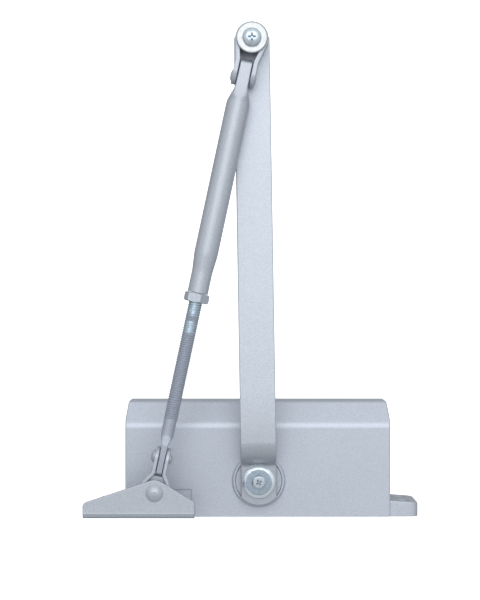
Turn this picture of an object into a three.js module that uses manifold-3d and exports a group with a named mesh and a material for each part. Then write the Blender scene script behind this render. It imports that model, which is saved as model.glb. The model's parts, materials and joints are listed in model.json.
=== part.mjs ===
// A surface-mounted hydraulic door closer with a two-part folding arm, in millimetres.
//
// The frame is the closer's own, as it hangs on a door. The origin is on the face that lies on the
// door, level with the pinion and half-way up the body. +X runs along the body, +Y points away from
// the door and +Z points up along the pinion.

import * as THREE from "three";
import { mergeVertices } from "three/addons/utils/BufferGeometryUtils.js";
import Module from "manifold-3d";

const wasm = await Module();
wasm.setup();

// ---- Driving dimensions -------------------------------------------------------------------------

const GAP = 0.3; // room between a piece and the piece that holds it
const SEAT = 0.1; // room under a piece that rests on a flat face
const ROUND = 28; // sides of a large turned piece
const SMALL_ROUND = 18;
const TINY_ROUND = 10;

// The body: a bar of one section, with a chamfer along both front edges and an ear at each end.
const BODY_LEFT = -73;
const BODY_RIGHT = 72;
const BODY_DEPTH = 63.2;
const BODY_HALF_HEIGHT = 20;
const CHAMFER_START_Y = 50.4;
const CHAMFER_END_Y = 62.4;
const CHAMFER_END_Z = 13;
const NOSE_HALF_HEIGHT = 12.2;
const END_TAPER = 1.6; // how much shorter each end is at the front edge
const EAR_REACH = 15.35;
const EAR_HALF_HEIGHT = 19;
const EAR_ROOT_THICKNESS = 8.8;
const EAR_TIP_THICKNESS = 7.7;
const EAR_CORNER = 4;
const EAR_HOLE_RADIUS = 2.75;
const EAR_HOLE_OUT = 8; // from the body's end to the middle of a screw hole
const EAR_HOLE_Z = 9.5;
const PANEL = { left: -62, right: -36.5, low: 5.2, high: 15.2, depth: 0.4 };

// The bore along the body, with its piston, spring and plugs.
const BORE_Y = 41;
const BORE_RADIUS = 16.2;
const PISTON_RADIUS = 15.8;
const PISTON_LEFT = -15;
const PISTON_RIGHT = 50;
const PLUG_LENGTH = 10;
const PLUG_BOSS_RADIUS = 9;
const PLUG_BOSS_RISE = 0.3;
const PLUG_SOCKET_FLATS = 8;
const SPRING_WIRE_RADIUS = 1.7;
const SPRING_COIL_RADIUS = 12.5;
const SPRING_TURNS = 6;

// The pinion stands upright behind the bore and meshes with the rack on the piston's flank.
const PINION_Y = 20;
const MODULE = 1.25;
const TEETH = 12;
const PITCH_RADIUS = (MODULE * TEETH) / 2;
const TOOTH_PITCH = Math.PI * MODULE;
const TOOTH_THICKNESS = TOOTH_PITCH / 2 - 0.14;
const PRESSURE_ANGLE = THREE.MathUtils.degToRad(20);
const GEAR_TIP_RADIUS = PITCH_RADIUS + 1.1;
const GEAR_ROOT_RADIUS = PITCH_RADIUS - 1.15;
const GEAR_HALF_WIDTH = 8;
const RACK_ADDENDUM = 0.8;
const RACK_DEDENDUM = 1.35;
const RACK_FIRST_TOOTH = -2;
const RACK_LAST_TOOTH = 7;
const JOURNAL_RADIUS = 7;
const SQUARE_DRIVE = 9.6;
const CHAMBER_RADIUS = 9.2;
const CHAMBER_HALF_HEIGHT = 13.6;
const BEARING_BORE_RADIUS = 12;
const BEARING_TOP = 17.4;
const SEAL_TOP = 19.8;
const RETAINER_RADIUS = 14.6;
const RETAINER_TOP = 22.2;
const SHAFT_TOP = 27.8;
const SHAFT_BOTTOM = -26;

// The main arm: a flat bar with a joggle that lifts it clear of the body.
const ARM_WIDTH = 19.3;
const ARM_THICKNESS = 5;
const HUB_BOTTOM = 23;
const ARM_BOTTOM = 34;
const HUB_END_RADIUS = 13;
const JOGGLE_START = 7.9;
const JOGGLE_ANGLE = THREE.MathUtils.degToRad(58);
const JOGGLE_LOWER_BEND = 4.5;
const JOGGLE_UPPER_BEND = 9;
const SPOT_FACE_RADIUS = 9.7;
const KNEE = new THREE.Vector2(-3.9, 257.3);
const ARM_END_RADIUS = 11.8;
const ARM_END_BEYOND_KNEE = 6.9;

// The knee: a stud in the arm's end, and a strap bent round it into a yoke.
const STUD_RADIUS = 4;
const STUD_TOP = 53.9;
const YOKE_BOTTOM = 39.4;
const YOKE_TOP = 53.3;
const KNEE_LOOP_RADIUS = 8.9;
const KNEE_STRAP = 2.3;
const KNEE_EAR_OUTER = 6.35;
const KNEE_EAR_START = 12;
const KNEE_EAR_TIP = 25.4;
const KNEE_RIVET_OUT = 20.8;
const KNEE_WASHER_RADIUS = 8.3;

// The forearm: a tube flattened between the yoke's ears, a lock nut and a threaded rod.
const FOREARM_Z = 46.3;
const TUBE_RADIUS = 6.35;
const TUBE_START = 11.5;
const TUBE_FLAT_HALF = 2.95;
const TUBE_FLAT_HALF_HEIGHT = 6.6;
const TUBE_FLAT_END = 24.5;
const TUBE_FULL_START = 36;
const TUBE_FULL_END = 117;
const NECK_START = 126.6;
const NECK_RADIUS = 5.5;
const TUBE_END = 138;
const TUBE_BORE_START = 44;
const TUBE_BORE_RADIUS = 4.2;
const NUT_FLATS = 12;
const NUT_THICKNESS = 5;
const NUT_TURN = THREE.MathUtils.degToRad(11);
const THREAD_RADIUS = 3.85;
const ROD_START = 78;
const THREAD_END = 206.8;
const SHANK_RADIUS = 3.4;
const SHANK_END = 217.2;
const ROD_END = 236.6;
const ROD_FLAT_HALF = 1.5;
const ROD_FLAT_HALF_HEIGHT = 5;
const SHOE_RIVET_OUT = 227.6;

// The shoe: an angle bracket with a pin, and the second yoke that turns on the pin.
const SHOE_PIN = new THREE.Vector2(-55.4, 16.6);
const SHOE_LOOP_RADIUS = 8.8;
const SHOE_STRAP = 2;
const SHOE_EAR_OUTER = 3.9;
const SHOE_EAR_START = 10;
const SHOE_EAR_TIP = 24.2;
const SHOE_YOKE_BOTTOM = 39.8;
const SHOE_YOKE_TOP = 52.8;
const SHOE_TOP = 56.3;
const SHOE_BOTTOM = 30;
const SHOE_THICKNESS = 3;
const SHOE_LEFT = -38;
const SHOE_RIGHT = 21.2;
const SHOE_FACE = -13.5;
const SHOE_APEX_RADIUS = 6.9;
const SHOE_BEND_RADIUS = 2.8;

// ---- Worked-out dimensions ----------------------------------------------------------------------

const PINION = new THREE.Vector2(0, PINION_Y);
const ARM_LENGTH = KNEE.distanceTo(PINION);
const ARM_ANGLE = Math.atan2(KNEE.y - PINION.y, KNEE.x - PINION.x);
const FOREARM_LENGTH = SHOE_PIN.distanceTo(KNEE);
const FOREARM_ANGLE = Math.atan2(SHOE_PIN.y - KNEE.y, SHOE_PIN.x - KNEE.x);
const HUB_TOP = HUB_BOTTOM + ARM_THICKNESS;
const ARM_TOP = ARM_BOTTOM + ARM_THICKNESS;

// ---- Materials ----------------------------------------------------------------------------------

const finish = (color, roughness, metalness) => new THREE.MeshStandardMaterial({ color, roughness, metalness });

const SILVER_PAINT = finish(0xbac2cd, 0.42, 0.55);
const ARM_PAINT = finish(0xc0c8d2, 0.4, 0.55);
const BRIGHT_ZINC = finish(0xd4dde4, 0.25, 0.95);
const DARK_STEEL = finish(0x7d838a, 0.4, 0.9);
const SPRING_STEEL = finish(0x5c6066, 0.45, 0.9);
const BRASS = finish(0xb49a5e, 0.35, 0.9);
const RUBBER = finish(0x232426, 0.85, 0);
const GREY_PLASTIC = finish(0x9aa0a8, 0.6, 0);

// ---- Solid geometry -----------------------------------------------------------------------------

// The geometry with positions only, its meeting points merged and its collapsed triangles left out.
function closedMesh(geometry) {
  const bare = geometry.clone();
  bare.deleteAttribute("normal");
  bare.deleteAttribute("uv");
  const merged = mergeVertices(bare, 1e-4);
  const corners = merged.index.array;
  const kept = [];
  for (let i = 0; i < corners.length; i += 3) {
    const [a, b, c] = [corners[i], corners[i + 1], corners[i + 2]];
    if (a !== b && b !== c && c !== a) kept.push(a, b, c);
  }
  merged.setIndex(kept);
  return merged;
}

function toManifold(geometry) {
  const mesh = closedMesh(geometry);
  const vertProperties = new Float32Array(mesh.attributes.position.array);
  const triVerts = new Uint32Array(mesh.index.array);
  return new wasm.Manifold(new wasm.Mesh({ numProp: 3, vertProperties, triVerts }));
}

function fromManifold(solid) {
  const mesh = solid.getMesh();
  const geometry = new THREE.BufferGeometry();
  geometry.setAttribute("position", new THREE.BufferAttribute(mesh.vertProperties, 3));
  geometry.setIndex(new THREE.BufferAttribute(mesh.triVerts, 1));
  return geometry;
}

const combine = (operation) => (first, ...others) => {
  let solid = toManifold(first);
  for (const other of others) solid = solid[operation](toManifold(other));
  return fromManifold(solid);
};

const join = combine("add");
const cut = combine("subtract");
const common = combine("intersect");

// Turns a geometry built along +Z so that it runs along +X or +Y instead.
const AXIS_TURN = {
  x: new THREE.Matrix4().set(0, 0, 1, 0, 1, 0, 0, 0, 0, 1, 0, 0, 0, 0, 0, 1),
  y: new THREE.Matrix4().set(0, 1, 0, 0, 0, 0, 1, 0, 1, 0, 0, 0, 0, 0, 0, 1),
  z: new THREE.Matrix4(),
};

// A prism between two places on an axis. Its outline is in (x, y) for z, (y, z) for x, (z, x) for y.
function prism(shape, axis, from, to, curveSegments = 12) {
  const geometry = new THREE.ExtrudeGeometry(shape, { depth: to - from, bevelEnabled: false, curveSegments });
  return geometry.translate(0, 0, from).applyMatrix4(AXIS_TURN[axis]);
}

// A turned solid about an axis, from [radius, height] points that run up its outside.
function turned(profile, sides = ROUND, axis = "z") {
  const points = profile.map(([radius, height]) => new THREE.Vector2(radius, height));
  return new THREE.LatheGeometry(points, sides).rotateX(Math.PI / 2).applyMatrix4(AXIS_TURN[axis]);
}

const cylinder = (radius, from, to, sides = SMALL_ROUND, axis = "z") =>
  turned([[0, from], [radius, from], [radius, to], [0, to]], sides, axis);

const ring = (outer, inner, from, to, sides = ROUND, axis = "z") =>
  turned([[inner, from], [outer, from], [outer, to], [inner, to], [inner, from]], sides, axis);

function block(x0, x1, y0, y1, z0, z1) {
  const geometry = new THREE.BoxGeometry(x1 - x0, y1 - y0, z1 - z0);
  return geometry.translate((x0 + x1) / 2, (y0 + y1) / 2, (z0 + z1) / 2);
}

function torus(radius, thickness, axis, sides = SMALL_ROUND) {
  return new THREE.TorusGeometry(radius, thickness, 6, sides).applyMatrix4(AXIS_TURN[axis]);
}

function polygon(points) {
  return new THREE.Shape(points.map(([x, y]) => new THREE.Vector2(x, y)));
}

function hexagon(acrossFlats, turn = 0) {
  const radius = acrossFlats / Math.sqrt(3);
  const corner = (i) => turn + (i * Math.PI) / 3;
  return polygon([0, 1, 2, 3, 4, 5].map((i) => [radius * Math.cos(corner(i)), radius * Math.sin(corner(i))]));
}

function roundedRectangle(x0, x1, y0, y1, radius) {
  const shape = new THREE.Shape();
  shape.absarc(x1 - radius, y0 + radius, radius, -Math.PI / 2, 0);
  shape.absarc(x1 - radius, y1 - radius, radius, 0, Math.PI / 2);
  shape.absarc(x0 + radius, y1 - radius, radius, Math.PI / 2, Math.PI);
  shape.absarc(x0 + radius, y0 + radius, radius, Math.PI, 1.5 * Math.PI);
  return shape;
}

// A cross-shaped driver recess that sinks from a screw head's top.
function crossRecess(reach, width, top, depth) {
  const bar = block(-reach, reach, -width / 2, width / 2, top - depth, top + 1);
  return join(bar, bar.clone().rotateZ(Math.PI / 2));
}

// ---- The assembly and its groups ----------------------------------------------------------------

const closer = new THREE.Group();

function groupAt(place, turn) {
  const group = new THREE.Group();
  group.position.set(place.x, place.y, 0);
  group.rotation.z = turn;
  closer.add(group);
  return group;
}

const pinionGroup = groupAt(PINION, 0);
const armGroup = groupAt(PINION, ARM_ANGLE); // +X runs from the pinion to the knee
const kneeGroup = groupAt(KNEE, FOREARM_ANGLE); // +X runs from the knee to the shoe pin
const shoeYokeGroup = groupAt(SHOE_PIN, FOREARM_ANGLE + Math.PI); // +X runs back to the knee
const shoeGroup = groupAt(SHOE_PIN, 0);

function addPiece(name, geometry, material, group = closer) {
  const mesh = new THREE.Mesh(closedMesh(geometry), material);
  mesh.name = name;
  group.add(mesh);
}

// ---- Body ---------------------------------------------------------------------------------------

function bodySection() {
  return polygon([
    [0, -BODY_HALF_HEIGHT],
    [CHAMFER_START_Y, -BODY_HALF_HEIGHT],
    [CHAMFER_END_Y, -CHAMFER_END_Z],
    [BODY_DEPTH, -NOSE_HALF_HEIGHT],
    [BODY_DEPTH, NOSE_HALF_HEIGHT],
    [CHAMFER_END_Y, CHAMFER_END_Z],
    [CHAMFER_START_Y, BODY_HALF_HEIGHT],
    [0, BODY_HALF_HEIGHT],
  ]);
}

// The plan of the body's bar: its ends draw in a little towards the front edge.
function bodyPlan() {
  const shoulder = CHAMFER_START_Y + 3;
  return polygon([
    [BODY_LEFT, 0],
    [BODY_RIGHT, 0],
    [BODY_RIGHT, shoulder],
    [BODY_RIGHT - END_TAPER, BODY_DEPTH],
    [BODY_LEFT + END_TAPER, BODY_DEPTH],
    [BODY_LEFT, shoulder],
  ]);
}

// One ear, from inside the body's end outwards, thinner at its tip. side is -1 or 1.
function ear(side) {
  const root = side < 0 ? BODY_LEFT : BODY_RIGHT;
  const tip = root + side * EAR_REACH;
  const inside = root - side * 2;
  const wedge = polygon([
    [inside, 0],
    [tip, 0],
    [tip, EAR_TIP_THICKNESS],
    [root, EAR_ROOT_THICKNESS],
    [inside, EAR_ROOT_THICKNESS],
  ]);
  const front = roundedRectangle(
    -EAR_HALF_HEIGHT, EAR_HALF_HEIGHT,
    Math.min(root - side * 8, tip), Math.max(root - side * 8, tip),
    EAR_CORNER,
  );
  const slab = prism(front, "y", -1, EAR_ROOT_THICKNESS + 1, 4);
  const shaped = common(prism(wedge, "z", -EAR_HALF_HEIGHT, EAR_HALF_HEIGHT), slab);
  const hole = (z) => {
    const through = cylinder(EAR_HOLE_RADIUS, -1, EAR_ROOT_THICKNESS + 1, TINY_ROUND, "y");
    return through.translate(root + side * EAR_HOLE_OUT, 0, z);
  };
  return cut(shaped, hole(EAR_HOLE_Z), hole(-EAR_HOLE_Z));
}

const VALVE_RADIUS = 2.8;
const VALVE_LENGTH = 14;
const VALVES = [
  { name: "sweep_valve", side: 1, y: 15, z: 9 },
  { name: "latch_valve", side: 1, y: 15, z: -9 },
  { name: "backcheck_valve", side: -1, y: 15, z: 0 },
];

// The hole that a regulating valve screws into, from the body's end inwards.
function valveHole({ side, y, z }) {
  const end = side < 0 ? BODY_LEFT : BODY_RIGHT;
  const inner = end - side * (VALVE_LENGTH + 2);
  const outer = end + side;
  const hole = cylinder(VALVE_RADIUS + GAP, Math.min(inner, outer), Math.max(inner, outer), TINY_ROUND, "x");
  return hole.translate(0, y, z);
}

function bodyCasting() {
  const bar = common(
    prism(bodySection(), "x", BODY_LEFT, BODY_RIGHT),
    prism(bodyPlan(), "z", -BODY_HALF_HEIGHT, BODY_HALF_HEIGHT),
  );
  const bore = cylinder(BORE_RADIUS, BODY_LEFT - 1, BODY_RIGHT + 1, ROUND, "x").translate(0, BORE_Y, 0);
  const chamber = cylinder(CHAMBER_RADIUS, -CHAMBER_HALF_HEIGHT, CHAMBER_HALF_HEIGHT, SMALL_ROUND);
  const upperBore = cylinder(BEARING_BORE_RADIUS, CHAMBER_HALF_HEIGHT - 0.1, BODY_HALF_HEIGHT + 1, ROUND);
  const lowerBore = cylinder(BEARING_BORE_RADIUS, -BODY_HALF_HEIGHT - 1, 0.1 - CHAMBER_HALF_HEIGHT, ROUND);
  const panel = block(
    PANEL.left, PANEL.right, PANEL.low, PANEL.high,
    BODY_HALF_HEIGHT - PANEL.depth, BODY_HALF_HEIGHT + 1,
  );
  const pinionBores = [chamber, upperBore, lowerBore].map((tool) => tool.translate(0, PINION_Y, 0));
  return cut(join(bar, ear(-1), ear(1)), bore, ...pinionBores, panel, ...VALVES.map(valveHole));
}

addPiece("closer_body", bodyCasting(), SILVER_PAINT);

// ---- Bearings, seals and retainers round the pinion ---------------------------------------------

// The retainer's face has a raised rim with a chamfer outside it.
function retainer() {
  return turned([
    [JOURNAL_RADIUS + GAP, BODY_HALF_HEIGHT + SEAT],
    [RETAINER_RADIUS, BODY_HALF_HEIGHT + SEAT],
    [RETAINER_RADIUS, RETAINER_TOP - 0.9],
    [RETAINER_RADIUS - 1.1, RETAINER_TOP],
    [RETAINER_RADIUS - 1.8, RETAINER_TOP],
    [RETAINER_RADIUS - 2.1, RETAINER_TOP - 0.7],
    [JOURNAL_RADIUS + GAP, RETAINER_TOP - 0.7],
    [JOURNAL_RADIUS + GAP, BODY_HALF_HEIGHT + SEAT],
  ]);
}

const bearing = () =>
  ring(BEARING_BORE_RADIUS - GAP, JOURNAL_RADIUS + GAP, CHAMBER_HALF_HEIGHT + SEAT, BEARING_TOP);

// The seal has a lip round the shaft and a hollow behind it.
function seal() {
  const inner = JOURNAL_RADIUS + GAP;
  const outer = BEARING_BORE_RADIUS - GAP;
  const bottom = BEARING_TOP + SEAT;
  return turned([
    [inner, bottom],
    [outer, bottom],
    [outer, SEAL_TOP],
    [outer - 1.2, SEAL_TOP],
    [outer - 1.2, bottom + 0.8],
    [inner + 1, bottom + 0.8],
    [inner + 0.8, SEAL_TOP],
    [inner, SEAL_TOP],
    [inner, bottom],
  ], SMALL_ROUND);
}

for (const [level, turn] of [["upper", 0], ["lower", Math.PI]]) {
  addPiece(`${level}_retainer`, retainer().rotateX(turn), SILVER_PAINT, pinionGroup);
  addPiece(`${level}_bearing`, bearing().rotateX(turn), DARK_STEEL, pinionGroup);
  addPiece(`${level}_seal`, seal().rotateX(turn), RUBBER, pinionGroup);
}

// The cap hides the pinion's lower end, which is the drive for a closer hung the other way up.
const CAP_RADIUS = 9.4;
const CAP_WALL = 1.5;

function spindleCap() {
  const top = -RETAINER_TOP - SEAT;
  const bottom = SHAFT_BOTTOM - GAP - CAP_WALL;
  return turned([
    [0, bottom],
    [CAP_RADIUS - 1, bottom],
    [CAP_RADIUS, bottom + 1],
    [CAP_RADIUS, top],
    [CAP_RADIUS - CAP_WALL, top],
    [CAP_RADIUS - CAP_WALL, SHAFT_BOTTOM - GAP],
    [0, SHAFT_BOTTOM - GAP],
  ], SMALL_ROUND);
}

addPiece("spindle_cap", spindleCap(), GREY_PLASTIC, pinionGroup);

// ---- End plugs ----------------------------------------------------------------------------------

const ORING_RADIUS = 1.1;
const GROOVE_DEPTH = 2.4;
const GROOVE_HALF_WIDTH = 1.4;
const PLUG_RADIUS = BORE_RADIUS - GAP;
const PLUG_GROOVE_AT = 4; // from the plug's inner face

// A plug turned about +X, from its inner face at 0 to its boss, with a groove for its ring.
function endPlug() {
  const groove = PLUG_RADIUS - GROOVE_DEPTH;
  const body = turned([
    [0, 0],
    [PLUG_RADIUS, 0],
    [PLUG_RADIUS, PLUG_GROOVE_AT - GROOVE_HALF_WIDTH],
    [groove, PLUG_GROOVE_AT - GROOVE_HALF_WIDTH],
    [groove, PLUG_GROOVE_AT + GROOVE_HALF_WIDTH],
    [PLUG_RADIUS, PLUG_GROOVE_AT + GROOVE_HALF_WIDTH],
    [PLUG_RADIUS, PLUG_LENGTH],
    [PLUG_BOSS_RADIUS, PLUG_LENGTH],
    [PLUG_BOSS_RADIUS, PLUG_LENGTH + PLUG_BOSS_RISE],
    [0, PLUG_LENGTH + PLUG_BOSS_RISE],
  ], ROUND, "x");
  return cut(body, prism(hexagon(PLUG_SOCKET_FLATS), "x", PLUG_LENGTH - 5, PLUG_LENGTH + 1));
}

for (const [name, side, end] of [["left", -1, BODY_LEFT], ["right", 1, BODY_RIGHT]]) {
  const turn = side < 0 ? Math.PI : 0;
  const inner = end - side * PLUG_LENGTH;
  const ringAt = PLUG_GROOVE_AT;
  const plug = endPlug().rotateZ(turn).translate(inner, BORE_Y, 0);
  const oring = torus(PLUG_RADIUS - ORING_RADIUS, ORING_RADIUS - 0.1, "x");
  addPiece(`${name}_end_plug`, plug, SILVER_PAINT);
  addPiece(`${name}_plug_ring`, oring.translate(inner + side * ringAt, BORE_Y, 0), RUBBER);
}

// ---- Regulating valves --------------------------------------------------------------------------

// A valve screw turned about +X: a needle point, a groove for its ring and a slotted head.
function valveScrew() {
  const neck = VALVE_RADIUS - 1;
  const body = turned([
    [0, 0],
    [1.1, 3],
    [VALVE_RADIUS, 3.6],
    [VALVE_RADIUS, 6.4],
    [neck, 6.4],
    [neck, 8.2],
    [VALVE_RADIUS, 8.2],
    [VALVE_RADIUS, VALVE_LENGTH - 0.5],
    [VALVE_RADIUS - 0.4, VALVE_LENGTH - 0.1],
    [0, VALVE_LENGTH - 0.1],
  ], TINY_ROUND, "x");
  return cut(body, block(VALVE_LENGTH - 1.3, VALVE_LENGTH + 1, -VALVE_RADIUS - 1, VALVE_RADIUS + 1, -0.4, 0.4));
}

for (const { name, side, y, z } of VALVES) {
  const end = side < 0 ? BODY_LEFT : BODY_RIGHT;
  const turn = side < 0 ? Math.PI : 0;
  const inner = end - side * VALVE_LENGTH;
  const ringSolid = torus(VALVE_RADIUS - 0.4, 0.4, "x", TINY_ROUND).translate(inner + side * 7.3, y, z);
  addPiece(name, valveScrew().rotateZ(turn).translate(inner, y, z), BRASS);
  addPiece(`${name}_ring`, ringSolid, RUBBER);
}

// ---- Spring and piston --------------------------------------------------------------------------

// A helix about +X from 0 to a length.
class Helix extends THREE.Curve {
  constructor(radius, length, turns) {
    super();
    Object.assign(this, { radius, length, turns });
  }

  getPoint(t, target = new THREE.Vector3()) {
    const angle = 2 * Math.PI * this.turns * t;
    return target.set(this.length * t, this.radius * Math.cos(angle), this.radius * Math.sin(angle));
  }
}

function mainSpring() {
  const from = BODY_LEFT + PLUG_LENGTH + SPRING_WIRE_RADIUS + GAP;
  const to = PISTON_LEFT - SPRING_WIRE_RADIUS - GAP;
  const wire = new THREE.Shape();
  wire.absarc(0, 0, SPRING_WIRE_RADIUS, 0, 2 * Math.PI);
  const coil = new THREE.ExtrudeGeometry(wire, {
    steps: 12 * SPRING_TURNS,
    curveSegments: 3,
    extrudePath: new Helix(SPRING_COIL_RADIUS, to - from, SPRING_TURNS),
  });
  return coil.translate(from, BORE_Y, 0);
}

addPiece("main_spring", mainSpring(), SPRING_STEEL);

// The space beside the rack's teeth, in (x, y): the piston's flank is cut away down to them.
function rackSpace() {
  const lean = Math.tan(PRESSURE_ANGLE);
  const pitchLine = PINION_Y + PITCH_RADIUS;
  const tip = pitchLine - RACK_ADDENDUM;
  const root = pitchLine + RACK_DEDENDUM;
  const tipHalf = TOOTH_THICKNESS / 2 - RACK_ADDENDUM * lean;
  const rootHalf = TOOTH_THICKNESS / 2 + RACK_DEDENDUM * lean;
  const outside = BORE_Y - PISTON_RADIUS - 1;
  const left = (RACK_FIRST_TOOTH - 0.1) * TOOTH_PITCH;
  const right = (RACK_LAST_TOOTH + 1.1) * TOOTH_PITCH;
  const outline = [[left, outside], [left, root]];
  for (let tooth = RACK_FIRST_TOOTH; tooth <= RACK_LAST_TOOTH; tooth += 1) {
    const middle = (tooth + 0.5) * TOOTH_PITCH;
    outline.push([middle - rootHalf, root], [middle - tipHalf, tip]);
    outline.push([middle + tipHalf, tip], [middle + rootHalf, root]);
  }
  outline.push([right, root], [right, outside]);
  return polygon(outline);
}

const BALL_RADIUS = 2.4;
const BALL_CHAMBER_RADIUS = 3;
const BALL_CHAMBER_END = PISTON_LEFT + 10;

function pistonSolid() {
  const skirt = PISTON_RADIUS - 0.8;
  const body = turned([
    [0, PISTON_LEFT],
    [skirt, PISTON_LEFT],
    [PISTON_RADIUS, PISTON_LEFT + 0.8],
    [PISTON_RADIUS, PISTON_RIGHT - 0.8],
    [skirt, PISTON_RIGHT],
    [0, PISTON_RIGHT],
  ], ROUND, "x").translate(0, BORE_Y, 0);
  const flank = prism(rackSpace(), "z", -PISTON_RADIUS, PISTON_RADIUS);
  const chamber = turned([
    [0, PISTON_LEFT - 1],
    [BALL_CHAMBER_RADIUS, PISTON_LEFT - 1],
    [BALL_CHAMBER_RADIUS, BALL_CHAMBER_END - 1.5],
    [1.4, BALL_CHAMBER_END],
    [1.4, BALL_CHAMBER_END + 4],
    [0, BALL_CHAMBER_END + 4],
  ], TINY_ROUND, "x").translate(0, BORE_Y, 0);
  const port = cylinder(1.2, PINION_Y, BORE_Y, TINY_ROUND, "y").translate(BALL_CHAMBER_END + 2.5, 0, 0);
  return cut(body, flank, chamber, port);
}

addPiece("piston", pistonSolid(), DARK_STEEL);

// The check ball seats in the cone at its chamber's end; a snap ring keeps it in.
const ballGeometry = new THREE.SphereGeometry(BALL_RADIUS, 12, 8);
const ballSolid = ballGeometry.translate(BALL_CHAMBER_END - BALL_RADIUS - 1.2, BORE_Y, 0);
const snapRing = ring(BALL_CHAMBER_RADIUS - 0.2, 1.4, PISTON_LEFT + 0.2, PISTON_LEFT + 1.2, TINY_ROUND, "x");

addPiece("check_ball", ballSolid, DARK_STEEL);
addPiece("ball_retainer", snapRing.translate(0, BORE_Y, 0), SPRING_STEEL);

// ---- Pinion shaft -------------------------------------------------------------------------------

const involute = (angle) => Math.tan(angle) - angle;

// The outline of the gear, with involute flanks. One tooth points along +Y, at a gap in the rack.
function gearOutline() {
  const baseRadius = PITCH_RADIUS * Math.cos(PRESSURE_ANGLE);
  const halfAtPitch = TOOTH_THICKNESS / (2 * PITCH_RADIUS);
  const halfAngle = (radius) => {
    const pressure = Math.acos(Math.min(1, baseRadius / radius));
    return halfAtPitch + involute(PRESSURE_ANGLE) - involute(pressure);
  };
  const flank = [GEAR_ROOT_RADIUS, baseRadius + 0.02, PITCH_RADIUS, GEAR_TIP_RADIUS];
  const outline = [];
  const place = (radius, angle) => outline.push([radius * Math.cos(angle), radius * Math.sin(angle)]);
  for (let tooth = 0; tooth < TEETH; tooth += 1) {
    const middle = Math.PI / 2 + (2 * Math.PI * tooth) / TEETH;
    for (const radius of flank) place(radius, middle - halfAngle(Math.max(radius, baseRadius)));
    for (const radius of [...flank].reverse()) place(radius, middle + halfAngle(Math.max(radius, baseRadius)));
  }
  return polygon(outline);
}

const ARM_SCREW_HOLE_RADIUS = 2.6;
const ARM_SCREW_HOLE_DEPTH = 16;

function pinionShaft() {
  const squareHalf = SQUARE_DRIVE / 2;
  const journalTop = RETAINER_TOP + 0.3;
  const chamfer = 0.6;
  const journal = turned([
    [0, -journalTop],
    [JOURNAL_RADIUS - chamfer, -journalTop],
    [JOURNAL_RADIUS, chamfer - journalTop],
    [JOURNAL_RADIUS, -GEAR_HALF_WIDTH],
    [GEAR_ROOT_RADIUS - 0.1, -GEAR_HALF_WIDTH],
    [GEAR_ROOT_RADIUS - 0.1, GEAR_HALF_WIDTH],
    [JOURNAL_RADIUS, GEAR_HALF_WIDTH],
    [JOURNAL_RADIUS, journalTop - chamfer],
    [JOURNAL_RADIUS - chamfer, journalTop],
    [0, journalTop],
  ], SMALL_ROUND);
  const gear = prism(gearOutline(), "z", -GEAR_HALF_WIDTH - 0.05, GEAR_HALF_WIDTH + 0.05);
  const inside = GEAR_HALF_WIDTH + 1;
  const drive = (from, to) => block(-squareHalf, squareHalf, -squareHalf, squareHalf, from, to);
  const hole = cylinder(ARM_SCREW_HOLE_RADIUS, SHAFT_TOP - ARM_SCREW_HOLE_DEPTH, SHAFT_TOP + 1, TINY_ROUND);
  return cut(join(journal, gear, drive(SHAFT_BOTTOM, -inside), drive(inside, SHAFT_TOP)), hole);
}

addPiece("pinion_shaft", pinionShaft(), DARK_STEEL, pinionGroup);

// ---- Main arm -----------------------------------------------------------------------------------

// The bar's side view in (z, x): one thickness that follows the joggle from the hub up to the bar.
function armSideView() {
  const rise = ARM_BOTTOM - HUB_BOTTOM;
  const bendRise = (JOGGLE_LOWER_BEND + JOGGLE_UPPER_BEND) * (1 - Math.cos(JOGGLE_ANGLE));
  const slope = (rise - bendRise) / Math.sin(JOGGLE_ANGLE);
  const bendSteps = 5;
  const middle = HUB_BOTTOM + ARM_THICKNESS / 2;
  const line = [{ x: -HUB_END_RADIUS - 1, z: middle, angle: 0 }];
  for (let i = 0; i <= bendSteps; i += 1) {
    const angle = (JOGGLE_ANGLE * i) / bendSteps;
    const x = JOGGLE_START + JOGGLE_LOWER_BEND * Math.sin(angle);
    line.push({ x, z: middle + JOGGLE_LOWER_BEND * (1 - Math.cos(angle)), angle });
  }
  const foot = line[line.length - 1];
  const head = { x: foot.x + slope * Math.cos(JOGGLE_ANGLE), z: foot.z + slope * Math.sin(JOGGLE_ANGLE) };
  for (let i = 0; i <= bendSteps; i += 1) {
    const angle = JOGGLE_ANGLE * (1 - i / bendSteps);
    const x = head.x + JOGGLE_UPPER_BEND * (Math.sin(JOGGLE_ANGLE) - Math.sin(angle));
    line.push({ x, z: head.z + JOGGLE_UPPER_BEND * (Math.cos(angle) - Math.cos(JOGGLE_ANGLE)), angle });
  }
  line.push({ x: ARM_LENGTH + ARM_END_BEYOND_KNEE + 1, z: ARM_BOTTOM + ARM_THICKNESS / 2, angle: 0 });
  const half = ARM_THICKNESS / 2;
  const over = line.map(({ x, z, angle }) => [z + half * Math.cos(angle), x - half * Math.sin(angle)]);
  const under = line.map(({ x, z, angle }) => [z - half * Math.cos(angle), x + half * Math.sin(angle)]);
  return polygon([...over, ...under.reverse()]);
}

// The bar's plan in (x, y): round hub end, straight sides and a blunt arc past the knee.
function armPlan() {
  const half = ARM_WIDTH / 2;
  const hubAngle = Math.asin(half / HUB_END_RADIUS);
  const endAngle = Math.asin(half / ARM_END_RADIUS);
  const endMiddle = ARM_LENGTH + ARM_END_BEYOND_KNEE - ARM_END_RADIUS;
  const shape = new THREE.Shape();
  shape.absarc(0, 0, HUB_END_RADIUS, Math.PI - hubAngle, Math.PI + hubAngle);
  shape.absarc(endMiddle, 0, ARM_END_RADIUS, -endAngle, endAngle);
  return shape;
}

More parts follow.
